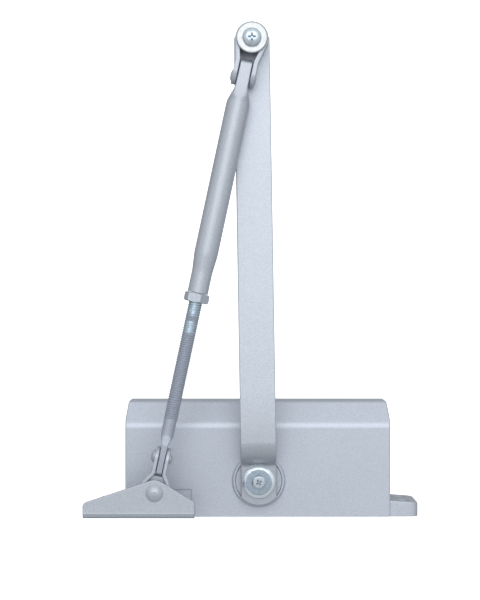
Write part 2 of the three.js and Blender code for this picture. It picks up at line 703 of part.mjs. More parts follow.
function mainArm() {
  const bar = prism(armSideView(), "y", -ARM_WIDTH / 2 - 1, ARM_WIDTH / 2 + 1);
  const plan = prism(armPlan(), "z", HUB_BOTTOM - 1, ARM_TOP + 1, 10);
  const spotFace = cylinder(SPOT_FACE_RADIUS, HUB_TOP, ARM_TOP + 2, ROUND);
  const half = SQUARE_DRIVE / 2 + GAP;
  const drive = block(-half, half, -half, half, HUB_BOTTOM - 1, HUB_TOP + 1).rotateZ(-ARM_ANGLE);
  const upright = cylinder(STUD_RADIUS + GAP, ARM_BOTTOM - 1, ARM_TOP + 1, SMALL_ROUND);
  const studHole = upright.translate(ARM_LENGTH, 0, 0);
  return cut(common(bar, plan), spotFace, drive, studHole);
}

addPiece("main_arm", mainArm(), ARM_PAINT, armGroup);

const ARM_WASHER_RADIUS = 8.9;
const ARM_WASHER_FLAT_RADIUS = 7.15;
const ARM_WASHER_TOP = 30.5;
const ARM_SCREW_RADIUS = 4;
const ARM_SCREW_TOP = 32.2;

function armWasher() {
  const hole = ARM_SCREW_HOLE_RADIUS;
  return turned([
    [hole, HUB_TOP + SEAT],
    [ARM_WASHER_RADIUS, HUB_TOP + SEAT],
    [ARM_WASHER_RADIUS, HUB_TOP + 1],
    [ARM_WASHER_FLAT_RADIUS, ARM_WASHER_TOP],
    [hole, ARM_WASHER_TOP],
    [hole, HUB_TOP + SEAT],
  ]);
}

// A pan-head screw with a domed top, a cross recess and a plain shank.
function panScrew(headRadius, headBottom, headTop, shankRadius, shankBottom, recess) {
  const dome = [[0, headTop]];
  const rimTop = headBottom + (headTop - headBottom) * 0.45;
  for (const t of [0.4, 0.75, 1]) {
    const radius = headRadius * t;
    dome.unshift([radius, rimTop + (headTop - rimTop) * Math.sqrt(1 - t * t)]);
  }
  const profile = [
    [0, shankBottom],
    [shankRadius, shankBottom],
    [shankRadius, headBottom],
    [headRadius, headBottom],
  ];
  return cut(turned([...profile, ...dome]), recess);
}

addPiece("arm_washer", armWasher(), BRIGHT_ZINC, armGroup);
addPiece(
  "arm_screw",
  panScrew(
    ARM_SCREW_RADIUS, ARM_WASHER_TOP + SEAT, ARM_SCREW_TOP, 2.2, SHAFT_TOP - ARM_SCREW_HOLE_DEPTH + 2,
    crossRecess(1.7, 0.8, ARM_SCREW_TOP, 1.2).rotateZ(0.5),
  ),
  BRIGHT_ZINC,
  armGroup,
);

// ---- Knee ---------------------------------------------------------------------------------------

const STUD_HEAD_RADIUS = 6.5;
const KNEE_SCREW_HOLE = 2.5;
const KNEE_SCREW_RADIUS = 5;
const KNEE_WASHER_TOP = 55.6;
const KNEE_SCREW_TOP = 58.6;

// The stud's head is under the arm and its shank stands up through the yoke, bored for a screw.
function kneeStud() {
  return turned([
    [0, ARM_BOTTOM - 1.9],
    [STUD_HEAD_RADIUS - 0.6, ARM_BOTTOM - 1.9],
    [STUD_HEAD_RADIUS, ARM_BOTTOM - 1.3],
    [STUD_HEAD_RADIUS, ARM_BOTTOM - SEAT],
    [STUD_RADIUS, ARM_BOTTOM - SEAT],
    [STUD_RADIUS, STUD_TOP],
    [KNEE_SCREW_HOLE, STUD_TOP],
    [KNEE_SCREW_HOLE, STUD_TOP - 10],
    [0, STUD_TOP - 10],
  ], SMALL_ROUND).translate(ARM_LENGTH, 0, 0);
}

function kneeWasher() {
  const bottom = STUD_TOP + SEAT;
  return turned([
    [KNEE_SCREW_HOLE, bottom],
    [KNEE_WASHER_RADIUS - 0.3, bottom],
    [KNEE_WASHER_RADIUS, bottom + 0.4],
    [KNEE_WASHER_RADIUS - 0.1, KNEE_WASHER_TOP - 0.6],
    [KNEE_WASHER_RADIUS - 0.9, KNEE_WASHER_TOP],
    [KNEE_SCREW_HOLE, KNEE_WASHER_TOP],
    [KNEE_SCREW_HOLE, bottom],
  ]).translate(ARM_LENGTH, 0, 0);
}

const kneeScrew = panScrew(
  KNEE_SCREW_RADIUS, KNEE_WASHER_TOP + SEAT, KNEE_SCREW_TOP, 2.1, STUD_TOP - 8,
  crossRecess(2.3, 0.9, KNEE_SCREW_TOP, 1.8).rotateZ(-ARM_ANGLE),
).translate(ARM_LENGTH, 0, 0);

addPiece("knee_stud", kneeStud(), BRIGHT_ZINC, armGroup);
addPiece("knee_washer", kneeWasher(), BRIGHT_ZINC, armGroup);
addPiece("knee_screw", kneeScrew, BRIGHT_ZINC, armGroup);

// A strap bent round a pin at the origin, with two parallel ears along +X, as a plan in (x, y).
function yokePlan(loopRadius, strap, earOuter, earStart, earTip) {
  const outerAngle = tangentAngle(loopRadius, earStart, earOuter);
  const innerRadius = loopRadius - strap;
  const earInner = earOuter - strap;
  const innerAngle = tangentAngle(innerRadius, earStart - strap / 3, earInner);
  const shape = new THREE.Shape();
  shape.moveTo(earTip, earOuter);
  shape.lineTo(earStart, earOuter);
  shape.absarc(0, 0, loopRadius, outerAngle, 2 * Math.PI - outerAngle);
  shape.lineTo(earStart, -earOuter);
  shape.lineTo(earTip, -earOuter);
  shape.lineTo(earTip, -earInner);
  shape.lineTo(earStart - strap / 3, -earInner);
  shape.absarc(0, 0, innerRadius, 2 * Math.PI - innerAngle, innerAngle, true);
  shape.lineTo(earStart - strap / 3, earInner);
  shape.lineTo(earTip, earInner);
  return shape;
}

// The angle at which a line from the point (x, y) touches a circle about the origin.
function tangentAngle(radius, x, y) {
  return Math.atan2(y, x) + Math.acos(radius / Math.hypot(x, y));
}

// The yoke's side view in (z, x): its ears end in half circles.
function yokeSideView(bottom, top, loopRadius, earTip) {
  const half = (top - bottom) / 2;
  const middle = (top + bottom) / 2;
  const shape = new THREE.Shape();
  shape.moveTo(bottom, -loopRadius - 1);
  shape.lineTo(top, -loopRadius - 1);
  shape.absarc(middle, earTip - half, half, 0, Math.PI);
  return shape;
}

function yoke(loopRadius, strap, earOuter, earStart, earTip, bottom, top, rivetOut, rivetRadius) {
  const plan = prism(yokePlan(loopRadius, strap, earOuter, earStart, earTip), "z", bottom, top, 12);
  const side = prism(yokeSideView(bottom, top, loopRadius, earTip), "y", -loopRadius - 1, loopRadius + 1, 8);
  const hole = cylinder(rivetRadius + GAP, -earOuter - 1, earOuter + 1, TINY_ROUND, "y");
  return cut(common(plan, side), hole.translate(rivetOut, 0, (bottom + top) / 2));
}

// A rivet along +Y with a domed head beyond each ear. The first head is the larger one.
function rivet(radius, earOuter, headRadius, headRise, tailRadius, tailRise) {
  const seat = earOuter + SEAT;
  return turned([
    [0, -seat - headRise],
    [headRadius * 0.5, -seat - headRise * 0.86],
    [headRadius * 0.85, -seat - headRise * 0.5],
    [headRadius, -seat],
    [radius, -seat],
    [radius, seat],
    [tailRadius, seat],
    [tailRadius * 0.85, seat + tailRise * 0.5],
    [tailRadius * 0.5, seat + tailRise * 0.86],
    [0, seat + tailRise],
  ], SMALL_ROUND, "y");
}

const KNEE_RIVET_RADIUS = 2.6;
const BUSH_WALL_GAP = 0.2;

const kneeYoke = yoke(
  KNEE_LOOP_RADIUS, KNEE_STRAP, KNEE_EAR_OUTER, KNEE_EAR_START, KNEE_EAR_TIP,
  YOKE_BOTTOM, YOKE_TOP, KNEE_RIVET_OUT, KNEE_RIVET_RADIUS,
);
const kneeBush = ring(
  KNEE_LOOP_RADIUS - KNEE_STRAP - BUSH_WALL_GAP, STUD_RADIUS + BUSH_WALL_GAP, ARM_TOP + SEAT, STUD_TOP - SEAT,
);
const kneeRivet = rivet(KNEE_RIVET_RADIUS, KNEE_EAR_OUTER, 3.5, 1.6, 3.2, 1.2);

addPiece("knee_yoke", kneeYoke, ARM_PAINT, kneeGroup);
addPiece("knee_bush", kneeBush, GREY_PLASTIC, kneeGroup);
addPiece("knee_rivet", kneeRivet.translate(KNEE_RIVET_OUT, 0, FOREARM_Z), ARM_PAINT, kneeGroup);

// ---- Forearm ------------------------------------------------------------------------------------

// Moves each point of a round bar along +X so that it is no wider than a limit given for its place.
function flatten(geometry, halfWidthAt, stretchAt) {
  const points = geometry.attributes.position;
  for (let i = 0; i < points.count; i += 1) {
    const limit = halfWidthAt(points.getX(i));
    points.setY(i, THREE.MathUtils.clamp(points.getY(i), -limit, limit));
    points.setZ(i, points.getZ(i) * stretchAt(points.getX(i)));
  }
  return geometry;
}

const smooth = (x, from, to) => THREE.MathUtils.smoothstep(x, from, to);

// Points of a quarter circle that rounds a bar's end in side view, from its tip to its full radius.
function roundedEnd(tip, radius, endRadius, direction) {
  const points = [];
  for (let i = 1; i <= 4; i += 1) {
    const angle = (Math.PI / 2) * (i / 4);
    const half = endRadius + (radius - endRadius) * Math.sin(angle);
    points.push([half, tip + direction * (radius - endRadius) * (1 - Math.cos(angle))]);
  }
  return points;
}

function forearmTube() {
  const roundness = (x) => smooth(x, TUBE_FLAT_END, TUBE_FULL_START);
  const halfWidth = (x) => TUBE_FLAT_HALF + (TUBE_RADIUS - TUBE_FLAT_HALF) * roundness(x);
  const coneSteps = [0, 0.25, 0.5, 0.75, 1].map((t) => {
    const place = TUBE_FLAT_END + (TUBE_FULL_START - TUBE_FLAT_END) * t;
    return [TUBE_FLAT_HALF_HEIGHT + (TUBE_RADIUS - TUBE_FLAT_HALF_HEIGHT) * t, place];
  });
  const bar = turned([
    [0, TUBE_START],
    [2.4, TUBE_START],
    ...roundedEnd(TUBE_START, TUBE_FLAT_HALF_HEIGHT, 2.4, 1),
    ...coneSteps,
    [TUBE_RADIUS, TUBE_FULL_END],
    [NECK_RADIUS, NECK_START],
    [NECK_RADIUS, TUBE_END - 0.4],
    [NECK_RADIUS - 0.4, TUBE_END],
    [0, TUBE_END],
  ], 20, "x");
  const shaped = flatten(bar, halfWidth, () => 1);
  const bore = cylinder(TUBE_BORE_RADIUS, TUBE_BORE_START, TUBE_END + 1, SMALL_ROUND, "x");
  const rivetHole = cylinder(KNEE_RIVET_RADIUS + GAP, -8, 8, TINY_ROUND, "y").translate(KNEE_RIVET_OUT, 0, 0);
  return cut(shaped, bore, rivetHole).translate(0, 0, FOREARM_Z);
}

// A hexagon nut along +X with its corners turned off at both faces.
function lockNut() {
  const from = TUBE_END + SEAT;
  const to = from + NUT_THICKNESS;
  const corner = NUT_FLATS / Math.sqrt(3);
  const flat = NUT_FLATS / 2;
  const turnedOff = turned([
    [0, from],
    [flat * 0.97, from],
    [corner + 0.1, from + 0.8],
    [corner + 0.1, to - 0.8],
    [flat * 0.97, to],
    [0, to],
  ], ROUND, "x");
  const hexagonal = common(prism(hexagon(NUT_FLATS, NUT_TURN), "x", from, to), turnedOff);
  const bore = cylinder(THREAD_RADIUS + GAP, from - 1, to + 1, SMALL_ROUND, "x");
  return cut(hexagonal, bore).translate(0, 0, FOREARM_Z);
}

const SHOE_RIVET_RADIUS = 2;

function threadedRod() {
  const flatStart = SHANK_END - 3;
  const flatFull = SHANK_END + 4;
  const shankHalf = SHANK_RADIUS * 1.3;
  const halfWidth = (x) => shankHalf + (ROD_FLAT_HALF - shankHalf) * smooth(x, flatStart, flatFull);
  const stretch = (x) => 1 + (ROD_FLAT_HALF_HEIGHT / SHANK_RADIUS - 1) * smooth(x, flatStart, flatFull);
  const bar = turned([
    [0, ROD_START],
    [THREAD_RADIUS - 0.8, ROD_START],
    [THREAD_RADIUS, ROD_START + 0.8],
    [THREAD_RADIUS, THREAD_END - 0.4],
    [SHANK_RADIUS, THREAD_END],
    [SHANK_RADIUS, flatStart],
    [SHANK_RADIUS, flatStart + 2.3],
    [SHANK_RADIUS, flatStart + 4.6],
    [SHANK_RADIUS, flatFull],
    ...roundedEnd(ROD_END, SHANK_RADIUS, 1, -1).reverse(),
    [1, ROD_END],
    [0, ROD_END],
  ], SMALL_ROUND, "x");
  const shaped = flatten(bar, halfWidth, stretch);
  const rivetHole = cylinder(SHOE_RIVET_RADIUS + GAP, -8, 8, TINY_ROUND, "y").translate(SHOE_RIVET_OUT, 0, 0);
  return cut(shaped, rivetHole).translate(0, 0, FOREARM_Z);
}

addPiece("forearm_tube", forearmTube(), ARM_PAINT, kneeGroup);
addPiece("lock_nut", lockNut(), ARM_PAINT, kneeGroup);
addPiece("threaded_rod", threadedRod(), DARK_STEEL, kneeGroup);

// ---- Shoe ---------------------------------------------------------------------------------------

const SHOE_PIN_RADIUS = 4;
const SHOE_PIN_DOME_RADIUS = 4.7;

const shoeYoke = yoke(
  SHOE_LOOP_RADIUS, SHOE_STRAP, SHOE_EAR_OUTER, SHOE_EAR_START, SHOE_EAR_TIP,
  SHOE_YOKE_BOTTOM, SHOE_YOKE_TOP, FOREARM_LENGTH - SHOE_RIVET_OUT, SHOE_RIVET_RADIUS,
);
const shoeBush = ring(
  SHOE_LOOP_RADIUS - SHOE_STRAP - BUSH_WALL_GAP, SHOE_PIN_RADIUS + BUSH_WALL_GAP,
  SHOE_YOKE_BOTTOM, SHOE_YOKE_TOP,
);
const shoeRivet = rivet(SHOE_RIVET_RADIUS, SHOE_EAR_OUTER, 3.55, 2.1, 2.6, 1.5).rotateZ(Math.PI);

addPiece("shoe_yoke", shoeYoke, ARM_PAINT, shoeYokeGroup);
addPiece("shoe_bush", shoeBush, GREY_PLASTIC, shoeYokeGroup);
addPiece(
  "shoe_rivet",
  shoeRivet.translate(FOREARM_LENGTH - SHOE_RIVET_OUT, 0, FOREARM_Z),
  ARM_PAINT,
  shoeYokeGroup,
);

// The angle's section in (y, z): a flange that stands on the frame, a bend and a plate over the yoke.
function shoeSection() {
  const inner = SHOE_BEND_RADIUS - 1.8;
  const flangeInside = SHOE_FACE + SHOE_THICKNESS;
  const plateUnder = SHOE_TOP - SHOE_THICKNESS;
  const shape = new THREE.Shape();
  shape.moveTo(flangeInside, SHOE_BOTTOM);
  shape.absarc(flangeInside + inner, plateUnder - inner, inner, Math.PI, Math.PI / 2, true);
  shape.lineTo(SHOE_APEX_RADIUS + 1, plateUnder);
  shape.lineTo(SHOE_APEX_RADIUS + 1, SHOE_TOP);
  const bendY = SHOE_FACE + SHOE_BEND_RADIUS;
  const bendZ = SHOE_TOP - SHOE_BEND_RADIUS;
  shape.absarc(bendY, bendZ, SHOE_BEND_RADIUS, Math.PI / 2, Math.PI);
  shape.lineTo(SHOE_FACE, SHOE_BOTTOM);
  return shape;
}

// The shoe's plan in (x, y): a low triangle with a round apex over the pin.
function shoePlan() {
  const leftSlope = THREE.MathUtils.degToRad(18.3);
  const rightSlope = THREE.MathUtils.degToRad(31.9);
  const shape = new THREE.Shape();
  shape.moveTo(SHOE_LEFT, SHOE_FACE);
  shape.lineTo(SHOE_RIGHT, SHOE_FACE);
  shape.lineTo(SHOE_RIGHT, -5.6);
  shape.quadraticCurveTo(SHOE_RIGHT, -5.1, SHOE_RIGHT - 0.7, -4.6);
  shape.absarc(0, 0, SHOE_APEX_RADIUS, Math.PI / 2 - rightSlope, Math.PI / 2 + leftSlope);
  shape.lineTo(-35.4, -4.4);
  shape.quadraticCurveTo(SHOE_LEFT, -5.4, SHOE_LEFT, -8.7);
  return shape;
}

const SHOE_SCREW_HOLE_RADIUS = 2.4;
const SHOE_SCREW_PLACES = [[-29, 44], [-11, 37], [13, 44]];

function shoeBracket() {
  const angle = prism(shoeSection(), "x", SHOE_LEFT, SHOE_RIGHT, 6);
  const plan = prism(shoePlan(), "z", SHOE_BOTTOM, SHOE_TOP + 1, 10);
  const front = prism(roundedRectangle(SHOE_BOTTOM, SHOE_TOP + 6, SHOE_LEFT, SHOE_RIGHT, 4), "y", -20, 20, 4);
  const pinHole = cylinder(SHOE_PIN_RADIUS + GAP, SHOE_TOP - 5, SHOE_TOP + 1, SMALL_ROUND);
  const screwHoles = SHOE_SCREW_PLACES.map(([x, z]) => {
    const through = SHOE_FACE + SHOE_THICKNESS + 1;
    const hole = cylinder(SHOE_SCREW_HOLE_RADIUS, SHOE_FACE - 1, through, TINY_ROUND, "y");
    return hole.translate(x, 0, z);
  });
  return cut(common(angle, plan, front), pinHole, ...screwHoles);
}

// The pin's dome shows on top of the plate, and a collar at its lower end keeps the yoke on.
function shoePin() {
  const domeSeat = SHOE_TOP + SEAT;
  const dome = [0.92, 0.7, 0.4, 0].map((t) => [SHOE_PIN_DOME_RADIUS * t, domeSeat + 2 * Math.sqrt(1 - t * t)]);
  return turned([
    [0, SHOE_YOKE_BOTTOM - 1.9],
    [5.4, SHOE_YOKE_BOTTOM - 1.9],
    [6, SHOE_YOKE_BOTTOM - 1.4],
    [6, SHOE_YOKE_BOTTOM - SEAT],
    [SHOE_PIN_RADIUS, SHOE_YOKE_BOTTOM - SEAT],
    [SHOE_PIN_RADIUS, domeSeat],
    [SHOE_PIN_DOME_RADIUS, domeSeat],
    ...dome,
  ], SMALL_ROUND);
}

addPiece("shoe_bracket", shoeBracket(), ARM_PAINT, shoeGroup);
addPiece("shoe_pin", shoePin(), ARM_PAINT, shoeGroup);

export default closer;
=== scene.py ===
"""The looks of a surface-mounted door closer with a two-part arm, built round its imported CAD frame.

Lengths are millimetres in this script and become metres when a mesh is made. The frame is the CAD's:
+X runs along the body, +Y points away from the door and +Z points up along the pinion.
"""

import json
import math

import bmesh
import bpy
from mathutils import Matrix, Vector


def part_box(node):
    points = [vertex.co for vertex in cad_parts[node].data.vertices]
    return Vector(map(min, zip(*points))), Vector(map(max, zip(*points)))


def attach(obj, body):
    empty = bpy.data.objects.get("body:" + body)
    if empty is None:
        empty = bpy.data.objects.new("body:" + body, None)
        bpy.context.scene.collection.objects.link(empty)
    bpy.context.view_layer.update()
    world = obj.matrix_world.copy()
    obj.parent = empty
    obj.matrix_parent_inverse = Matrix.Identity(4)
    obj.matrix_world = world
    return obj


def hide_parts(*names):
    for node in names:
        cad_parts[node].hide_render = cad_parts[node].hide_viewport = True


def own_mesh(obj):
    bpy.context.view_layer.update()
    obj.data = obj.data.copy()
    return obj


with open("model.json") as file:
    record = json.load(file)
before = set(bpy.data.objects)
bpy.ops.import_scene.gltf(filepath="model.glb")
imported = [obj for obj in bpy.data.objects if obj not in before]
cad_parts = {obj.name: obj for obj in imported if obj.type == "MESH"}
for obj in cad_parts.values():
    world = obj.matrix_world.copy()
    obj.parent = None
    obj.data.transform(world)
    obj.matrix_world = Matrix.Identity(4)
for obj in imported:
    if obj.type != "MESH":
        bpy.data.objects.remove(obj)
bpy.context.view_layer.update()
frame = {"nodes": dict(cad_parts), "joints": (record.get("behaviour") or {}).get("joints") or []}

MM = 0.001
JOINTS = {joint["name"]: joint for joint in frame["joints"]}

# ---- Places and sizes that the frame gives ----


def joint_place(name):
    return Vector(JOINTS[name]["pos_m"]) / MM


def low(node):
    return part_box(node)[0] / MM


def high(node):
    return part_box(node)[1] / MM


def extent(node, centre):
    """(radius, bottom, top) of a CAD node that is round about an upright axis."""
    return high(node).x - centre.x, low(node).z, high(node).z


def level_frame(place, direction):
    """A frame at a place, at height 0, whose +X runs along a level direction."""
    turn = Matrix.Rotation(math.atan2(direction.y, direction.x), 4, "Z")
    return Matrix.Translation((place.x, place.y, 0)) @ turn


def shift(x, y, z):
    return Matrix.Translation((x, y, z))


PINION = joint_place("pinion_turn")
KNEE = joint_place("knee_turn")
SHOE_PIN = joint_place("shoe_turn")
DOWN_FOREARM = Vector(JOINTS["rod_adjust"]["axis"])
FOREARM_Z = joint_place("knee_tilt").z
ARM_LENGTH = (KNEE.xy - PINION.xy).length
FOREARM_LENGTH = (SHOE_PIN.xy - KNEE.xy).length
KNEE_RIVET_OUT = (joint_place("knee_tilt").xy - KNEE.xy).length
SHOE_RIVET_BACK = (joint_place("shoe_tilt").xy - SHOE_PIN.xy).length

# Frames: the pieces turn about +Z of theirs, or run along +X of theirs.
BODY = Matrix.Identity(4)
PINION_AXIS = level_frame(PINION, Vector((1, 0)))
ARM = level_frame(PINION, KNEE - PINION)
FOREARM = level_frame(KNEE, DOWN_FOREARM)
SHOE_YOKE = level_frame(SHOE_PIN, -DOWN_FOREARM)
SHOE = level_frame(SHOE_PIN, Vector((1, 0)))
TO_X = Matrix(((0, 0, 1, 0), (1, 0, 0, 0), (0, 1, 0, 0), (0, 0, 0, 1)))
TO_Y = Matrix(((0, 1, 0, 0), (0, 0, 1, 0), (1, 0, 0, 0), (0, 0, 0, 1)))
UPRIGHT = Matrix.Rotation(math.pi / 2, 4, "X")

# ---- Materials ----


class Nodes:
    """A short way to build the node tree of a material or the world, round its shader."""

    def __init__(self, owner, shader):
        owner.use_nodes = True
        self.owner = owner
        self.tree = owner.node_tree
        self.shader = self.tree.nodes[shader]
        self.coordinates = self.tree.nodes.new("ShaderNodeTexCoord").outputs
        self.place = self.coordinates["Object"]

    def put(self, socket, value):
        if isinstance(value, bpy.types.NodeSocket):
            self.tree.links.new(value, socket)
        elif socket.type == "RGBA" and len(value) == 3:
            socket.default_value = (*value, 1.0)
        else:
            socket.default_value = value

    def add(self, kind, inputs, **settings):
        node = self.tree.nodes.new(kind)
        for key, value in settings.items():
            setattr(node, key, value)
        for key, value in inputs.items():
            self.put(node.inputs[key], value)
        return node

    def set(self, inputs):
        for key, value in inputs.items():
            self.put(self.shader.inputs[key], value)

    def noise(self, scale, detail=2.0, roughness=0.5):
        inputs = {"Vector": self.place, "Scale": scale, "Detail": detail, "Roughness": roughness}
        return self.add("ShaderNodeTexNoise", inputs).outputs["Fac"]

    def cells(self, scale):
        node = self.add("ShaderNodeTexVoronoi", {"Vector": self.place, "Scale": scale})
        return self.add("ShaderNodeSeparateColor", {"Color": node.outputs["Color"]}).outputs["Red"]

    def spread(self, value, low_in, high_in, low_out, high_out, kind="LINEAR"):
        inputs = {"Value": value, "From Min": low_in, "From Max": high_in}
        inputs |= {"To Min": low_out, "To Max": high_out}
        return self.add("ShaderNodeMapRange", inputs, interpolation_type=kind).outputs["Result"]

    def ramp(self, value, stops):
        node = self.add("ShaderNodeValToRGB", {"Fac": value})
        elements = node.color_ramp.elements
        while len(elements) < len(stops):
            elements.new(0.5)
        for element, (place, color) in zip(elements, stops):
            element.position = place
            element.color = (*color, 1.0)
        return node.outputs["Color"]

    def mix(self, factor, first, second, kind="MIX"):
        inputs = {0: factor, 6: first, 7: second}
        return self.add("ShaderNodeMix", inputs, data_type="RGBA", blend_type=kind).outputs[2]

    def maths(self, operation, first, second=0.0):
        return self.add("ShaderNodeMath", {0: first, 1: second}, operation=operation).outputs[0]

    def vector(self, operation, *values):
        node = self.add("ShaderNodeVectorMath", dict(enumerate(values)), operation=operation)
        return node.outputs["Value" if operation in ("LENGTH", "DOT_PRODUCT") else "Vector"]

    def weigh(self, first, second, share):
        """A sum of two numbers, by the first one's share."""
        rest = self.maths("MULTIPLY", second, 1 - share)
        return self.maths("ADD", self.maths("MULTIPLY", first, share), rest)

    def blend(self, factor, first, second):
        """A number that goes from the first to the second as the factor goes from 0 to 1."""
        step = self.maths("MULTIPLY", factor, self.maths("SUBTRACT", second, first))
        return self.maths("ADD", first, step)

    def bump(self, height, strength, distance, below=None):
        inputs = {"Height": height, "Strength": strength, "Distance": distance}
        if below is not None:
            inputs["Normal"] = below
        return self.add("ShaderNodeBump", inputs).outputs["Normal"]


def surface(name):
    """The nodes of a new material."""
    return Nodes(bpy.data.materials.new(name), "Principled BSDF")


def srgb(red, green, blue):
    """The linear colour of an 8-bit sRGB colour."""
    parts = (value / 255 for value in (red, green, blue))
    return tuple(v / 12.92 if v <= 0.04045 else ((v + 0.055) / 1.055) ** 2.4 for v in parts)


def scaled(color, factor):
    return tuple(min(1.0, value * factor) for value in color)


# Scales of the noises, in features a metre.
FLAKE_SCALE = 3600.0
CLUMP_SCALE = 1500.0
PEEL_SCALE = 420.0
CLOUD_SCALE = 30.0
ZINC_CLOUD_SCALE = 520.0
SPANGLE_SCALE = 1700.0
RAGGED_SCALE = 600.0
MARK_SCALE = 2400.0
FILM_SCALE = 150.0
PATCH_SCALE = 70.0
FLAKE_SHARE = 0.35
CLOUD_SHARE = 0.7
RAGGED_EDGE = 0.4


def paint_layers(nodes, tone, grain):
    """(colour, roughness, normal) of metallic silver paint: fine flakes in a slightly uneven coat."""
    flakes = nodes.cells(FLAKE_SCALE)
    clumps = nodes.noise(CLUMP_SCALE, 3.0, 0.65)
    cloud = nodes.spread(nodes.noise(CLOUD_SCALE), 0.0, 1.0, -0.05, 0.05)
    level = nodes.maths("ADD", nodes.weigh(flakes, clumps, FLAKE_SHARE), cloud)
    stops = [(0.3, scaled(tone, 1 - grain)), (0.5, tone), (0.7, scaled(tone, 1 + grain))]
    color = nodes.ramp(level, stops)
    roughness = nodes.spread(flakes, 0.0, 1.0, 0.36, 0.5)
    peel = nodes.bump(nodes.noise(PEEL_SCALE), 0.5, 0.00006)
    return color, roughness, nodes.bump(clumps, 0.25, 0.00010, peel)


def out_from(nodes, centre):
    """The distance in metres of a place from an upright axis through a centre."""
    offset = nodes.vector("SUBTRACT", nodes.place, (centre.x * MM, centre.y * MM, 0))
    return nodes.vector("LENGTH", nodes.vector("MULTIPLY", offset, (1, 1, 0)))


def silver_paint(name, tone, grain=0.12, painted_shade=None):
    """Silver paint, with painted shade that darkens it round an axis by (centre, share, from, to) if that
    is given.
    """
    nodes = surface(name)
    color, roughness, normal = paint_layers(nodes, tone, grain)
    # Painted shade: the colour is multiplied down towards the axis.
    if painted_shade:
        centre, share, near, far = painted_shade
        level = nodes.spread(out_from(nodes, centre), near * MM, far * MM, share, 1.0)
        color = nodes.mix(1.0, color, level, "MULTIPLY")
    nodes.set({"Base Color": color, "Roughness": roughness, "Normal": normal, "Metallic": 0.6})
    nodes.set({"Coat Weight": 0.08, "Coat Roughness": 0.3})
    return nodes.owner


def zinc_layers(nodes, tone, rough, mottling):
    """(colour, roughness, normal) of blue-bright zinc: a dull mirror with clouded patches."""
    clouds = nodes.noise(ZINC_CLOUD_SCALE, 4.0, 0.6)
    spangle = nodes.noise(SPANGLE_SCALE)
    patch = nodes.weigh(clouds, spangle, CLOUD_SHARE)
    color = nodes.ramp(patch, [(0.38, scaled(tone, 1 - 0.35 * mottling)), (0.6, tone)])
    roughness = nodes.spread(clouds, 0.3, 0.7, rough + 0.12, rough - 0.04)
    return color, roughness, nodes.bump(spangle, 0.3 * mottling, 0.00005)


def bright_zinc(name, tone, rough, mottling):
    nodes = surface(name)
    color, roughness, normal = zinc_layers(nodes, tone, rough, mottling)
    nodes.set({"Base Color": color, "Roughness": roughness, "Normal": normal, "Metallic": 1.0})
    return nodes.owner


def ringed_zinc(name, tone, highlight_tone, centre, radius):
    """Zinc whose outer ring, past a radius from an upright axis, is painted lighter and less mottled: a
    painted highlight on the bevel.
    """
    nodes = surface(name)
    face, rough, normal = zinc_layers(nodes, tone, 0.26, 1.0)
    rim = zinc_layers(nodes, highlight_tone, 0.2, 0.2)[0]
    # Painted highlight: the ring past the radius takes the lighter rim colour.
    ring = nodes.maths("GREATER_THAN", out_from(nodes, centre), radius * MM)
    color = nodes.mix(ring, face, rim)
    nodes.set({"Base Color": color, "Roughness": rough, "Normal": normal, "Metallic": 1.0})
    return nodes.owner


def rod_finish(name, paint_tone, zinc_tone, bands):
    """Paint over a zinc-plated thread, with bands across the rod that a jig has kept bare."""
    nodes = surface(name)
    from_knee = nodes.vector("SUBTRACT", nodes.place, KNEE * MM)
    along = nodes.vector("DOT_PRODUCT", from_knee, DOWN_FOREARM)
    edge = RAGGED_EDGE * MM
    ragged = nodes.spread(nodes.noise(RAGGED_SCALE), 0.0, 1.0, -edge, edge)
    place = nodes.maths("ADD", along, ragged)
    bare = 0.0
    for start, end in bands:
        past_start = nodes.maths("GREATER_THAN", place, start * MM)
        before_end = nodes.maths("LESS_THAN", place, end * MM)
        bare = nodes.maths("ADD", bare, nodes.maths("MULTIPLY", past_start, before_end))
    paint_color, paint_rough, normal = paint_layers(nodes, paint_tone, 0.12)
    zinc_color, zinc_rough, _ = zinc_layers(nodes, zinc_tone, 0.25, 0.5)
    nodes.set({"Base Color": nodes.mix(bare, paint_color, zinc_color), "Normal": normal})
    nodes.set({"Roughness": nodes.blend(bare, paint_rough, zinc_rough)})
    nodes.set({"Metallic": nodes.spread(bare, 0.0, 1.0, 0.5, 1.0)})
    return nodes.owner


def machined(name, tone, rough):
    """Machined metal with fine marks and a film of oil."""
    nodes = surface(name)
    marks = nodes.noise(MARK_SCALE)
    film = nodes.noise(FILM_SCALE, 3.0)
    color = nodes.ramp(film, [(0.35, scaled(tone, 0.75)), (0.65, tone)])
    roughness = nodes.spread(marks, 0.2, 0.8, rough - 0.08, rough + 0.12)
    nodes.set({"Base Color": color, "Roughness": roughness, "Metallic": 1.0})
    nodes.set({"Normal": nodes.bump(marks, 0.25, 0.00004)})
    return nodes.owner


def moulded(name, tone, rough, grain_scale, depth):
    """Moulded rubber or plastic with a fine grain."""
    nodes = surface(name)
    grain = nodes.noise(grain_scale, 3.0, 0.6)
    color = nodes.ramp(nodes.noise(PATCH_SCALE), [(0.3, scaled(tone, 0.82)), (0.7, tone)])
    roughness = nodes.spread(grain, 0.2, 0.8, rough - 0.08, rough + 0.08)
    nodes.set({"Base Color": color, "Roughness": roughness, "Normal": nodes.bump(grain, 0.4, depth)})
    return nodes.owner


BODY_TONE = srgb(188, 195, 206)
ARM_TONE = srgb(194, 201, 211)
ROD_BANDS = [(143.0, 150.5), (153.5, 160.0)]

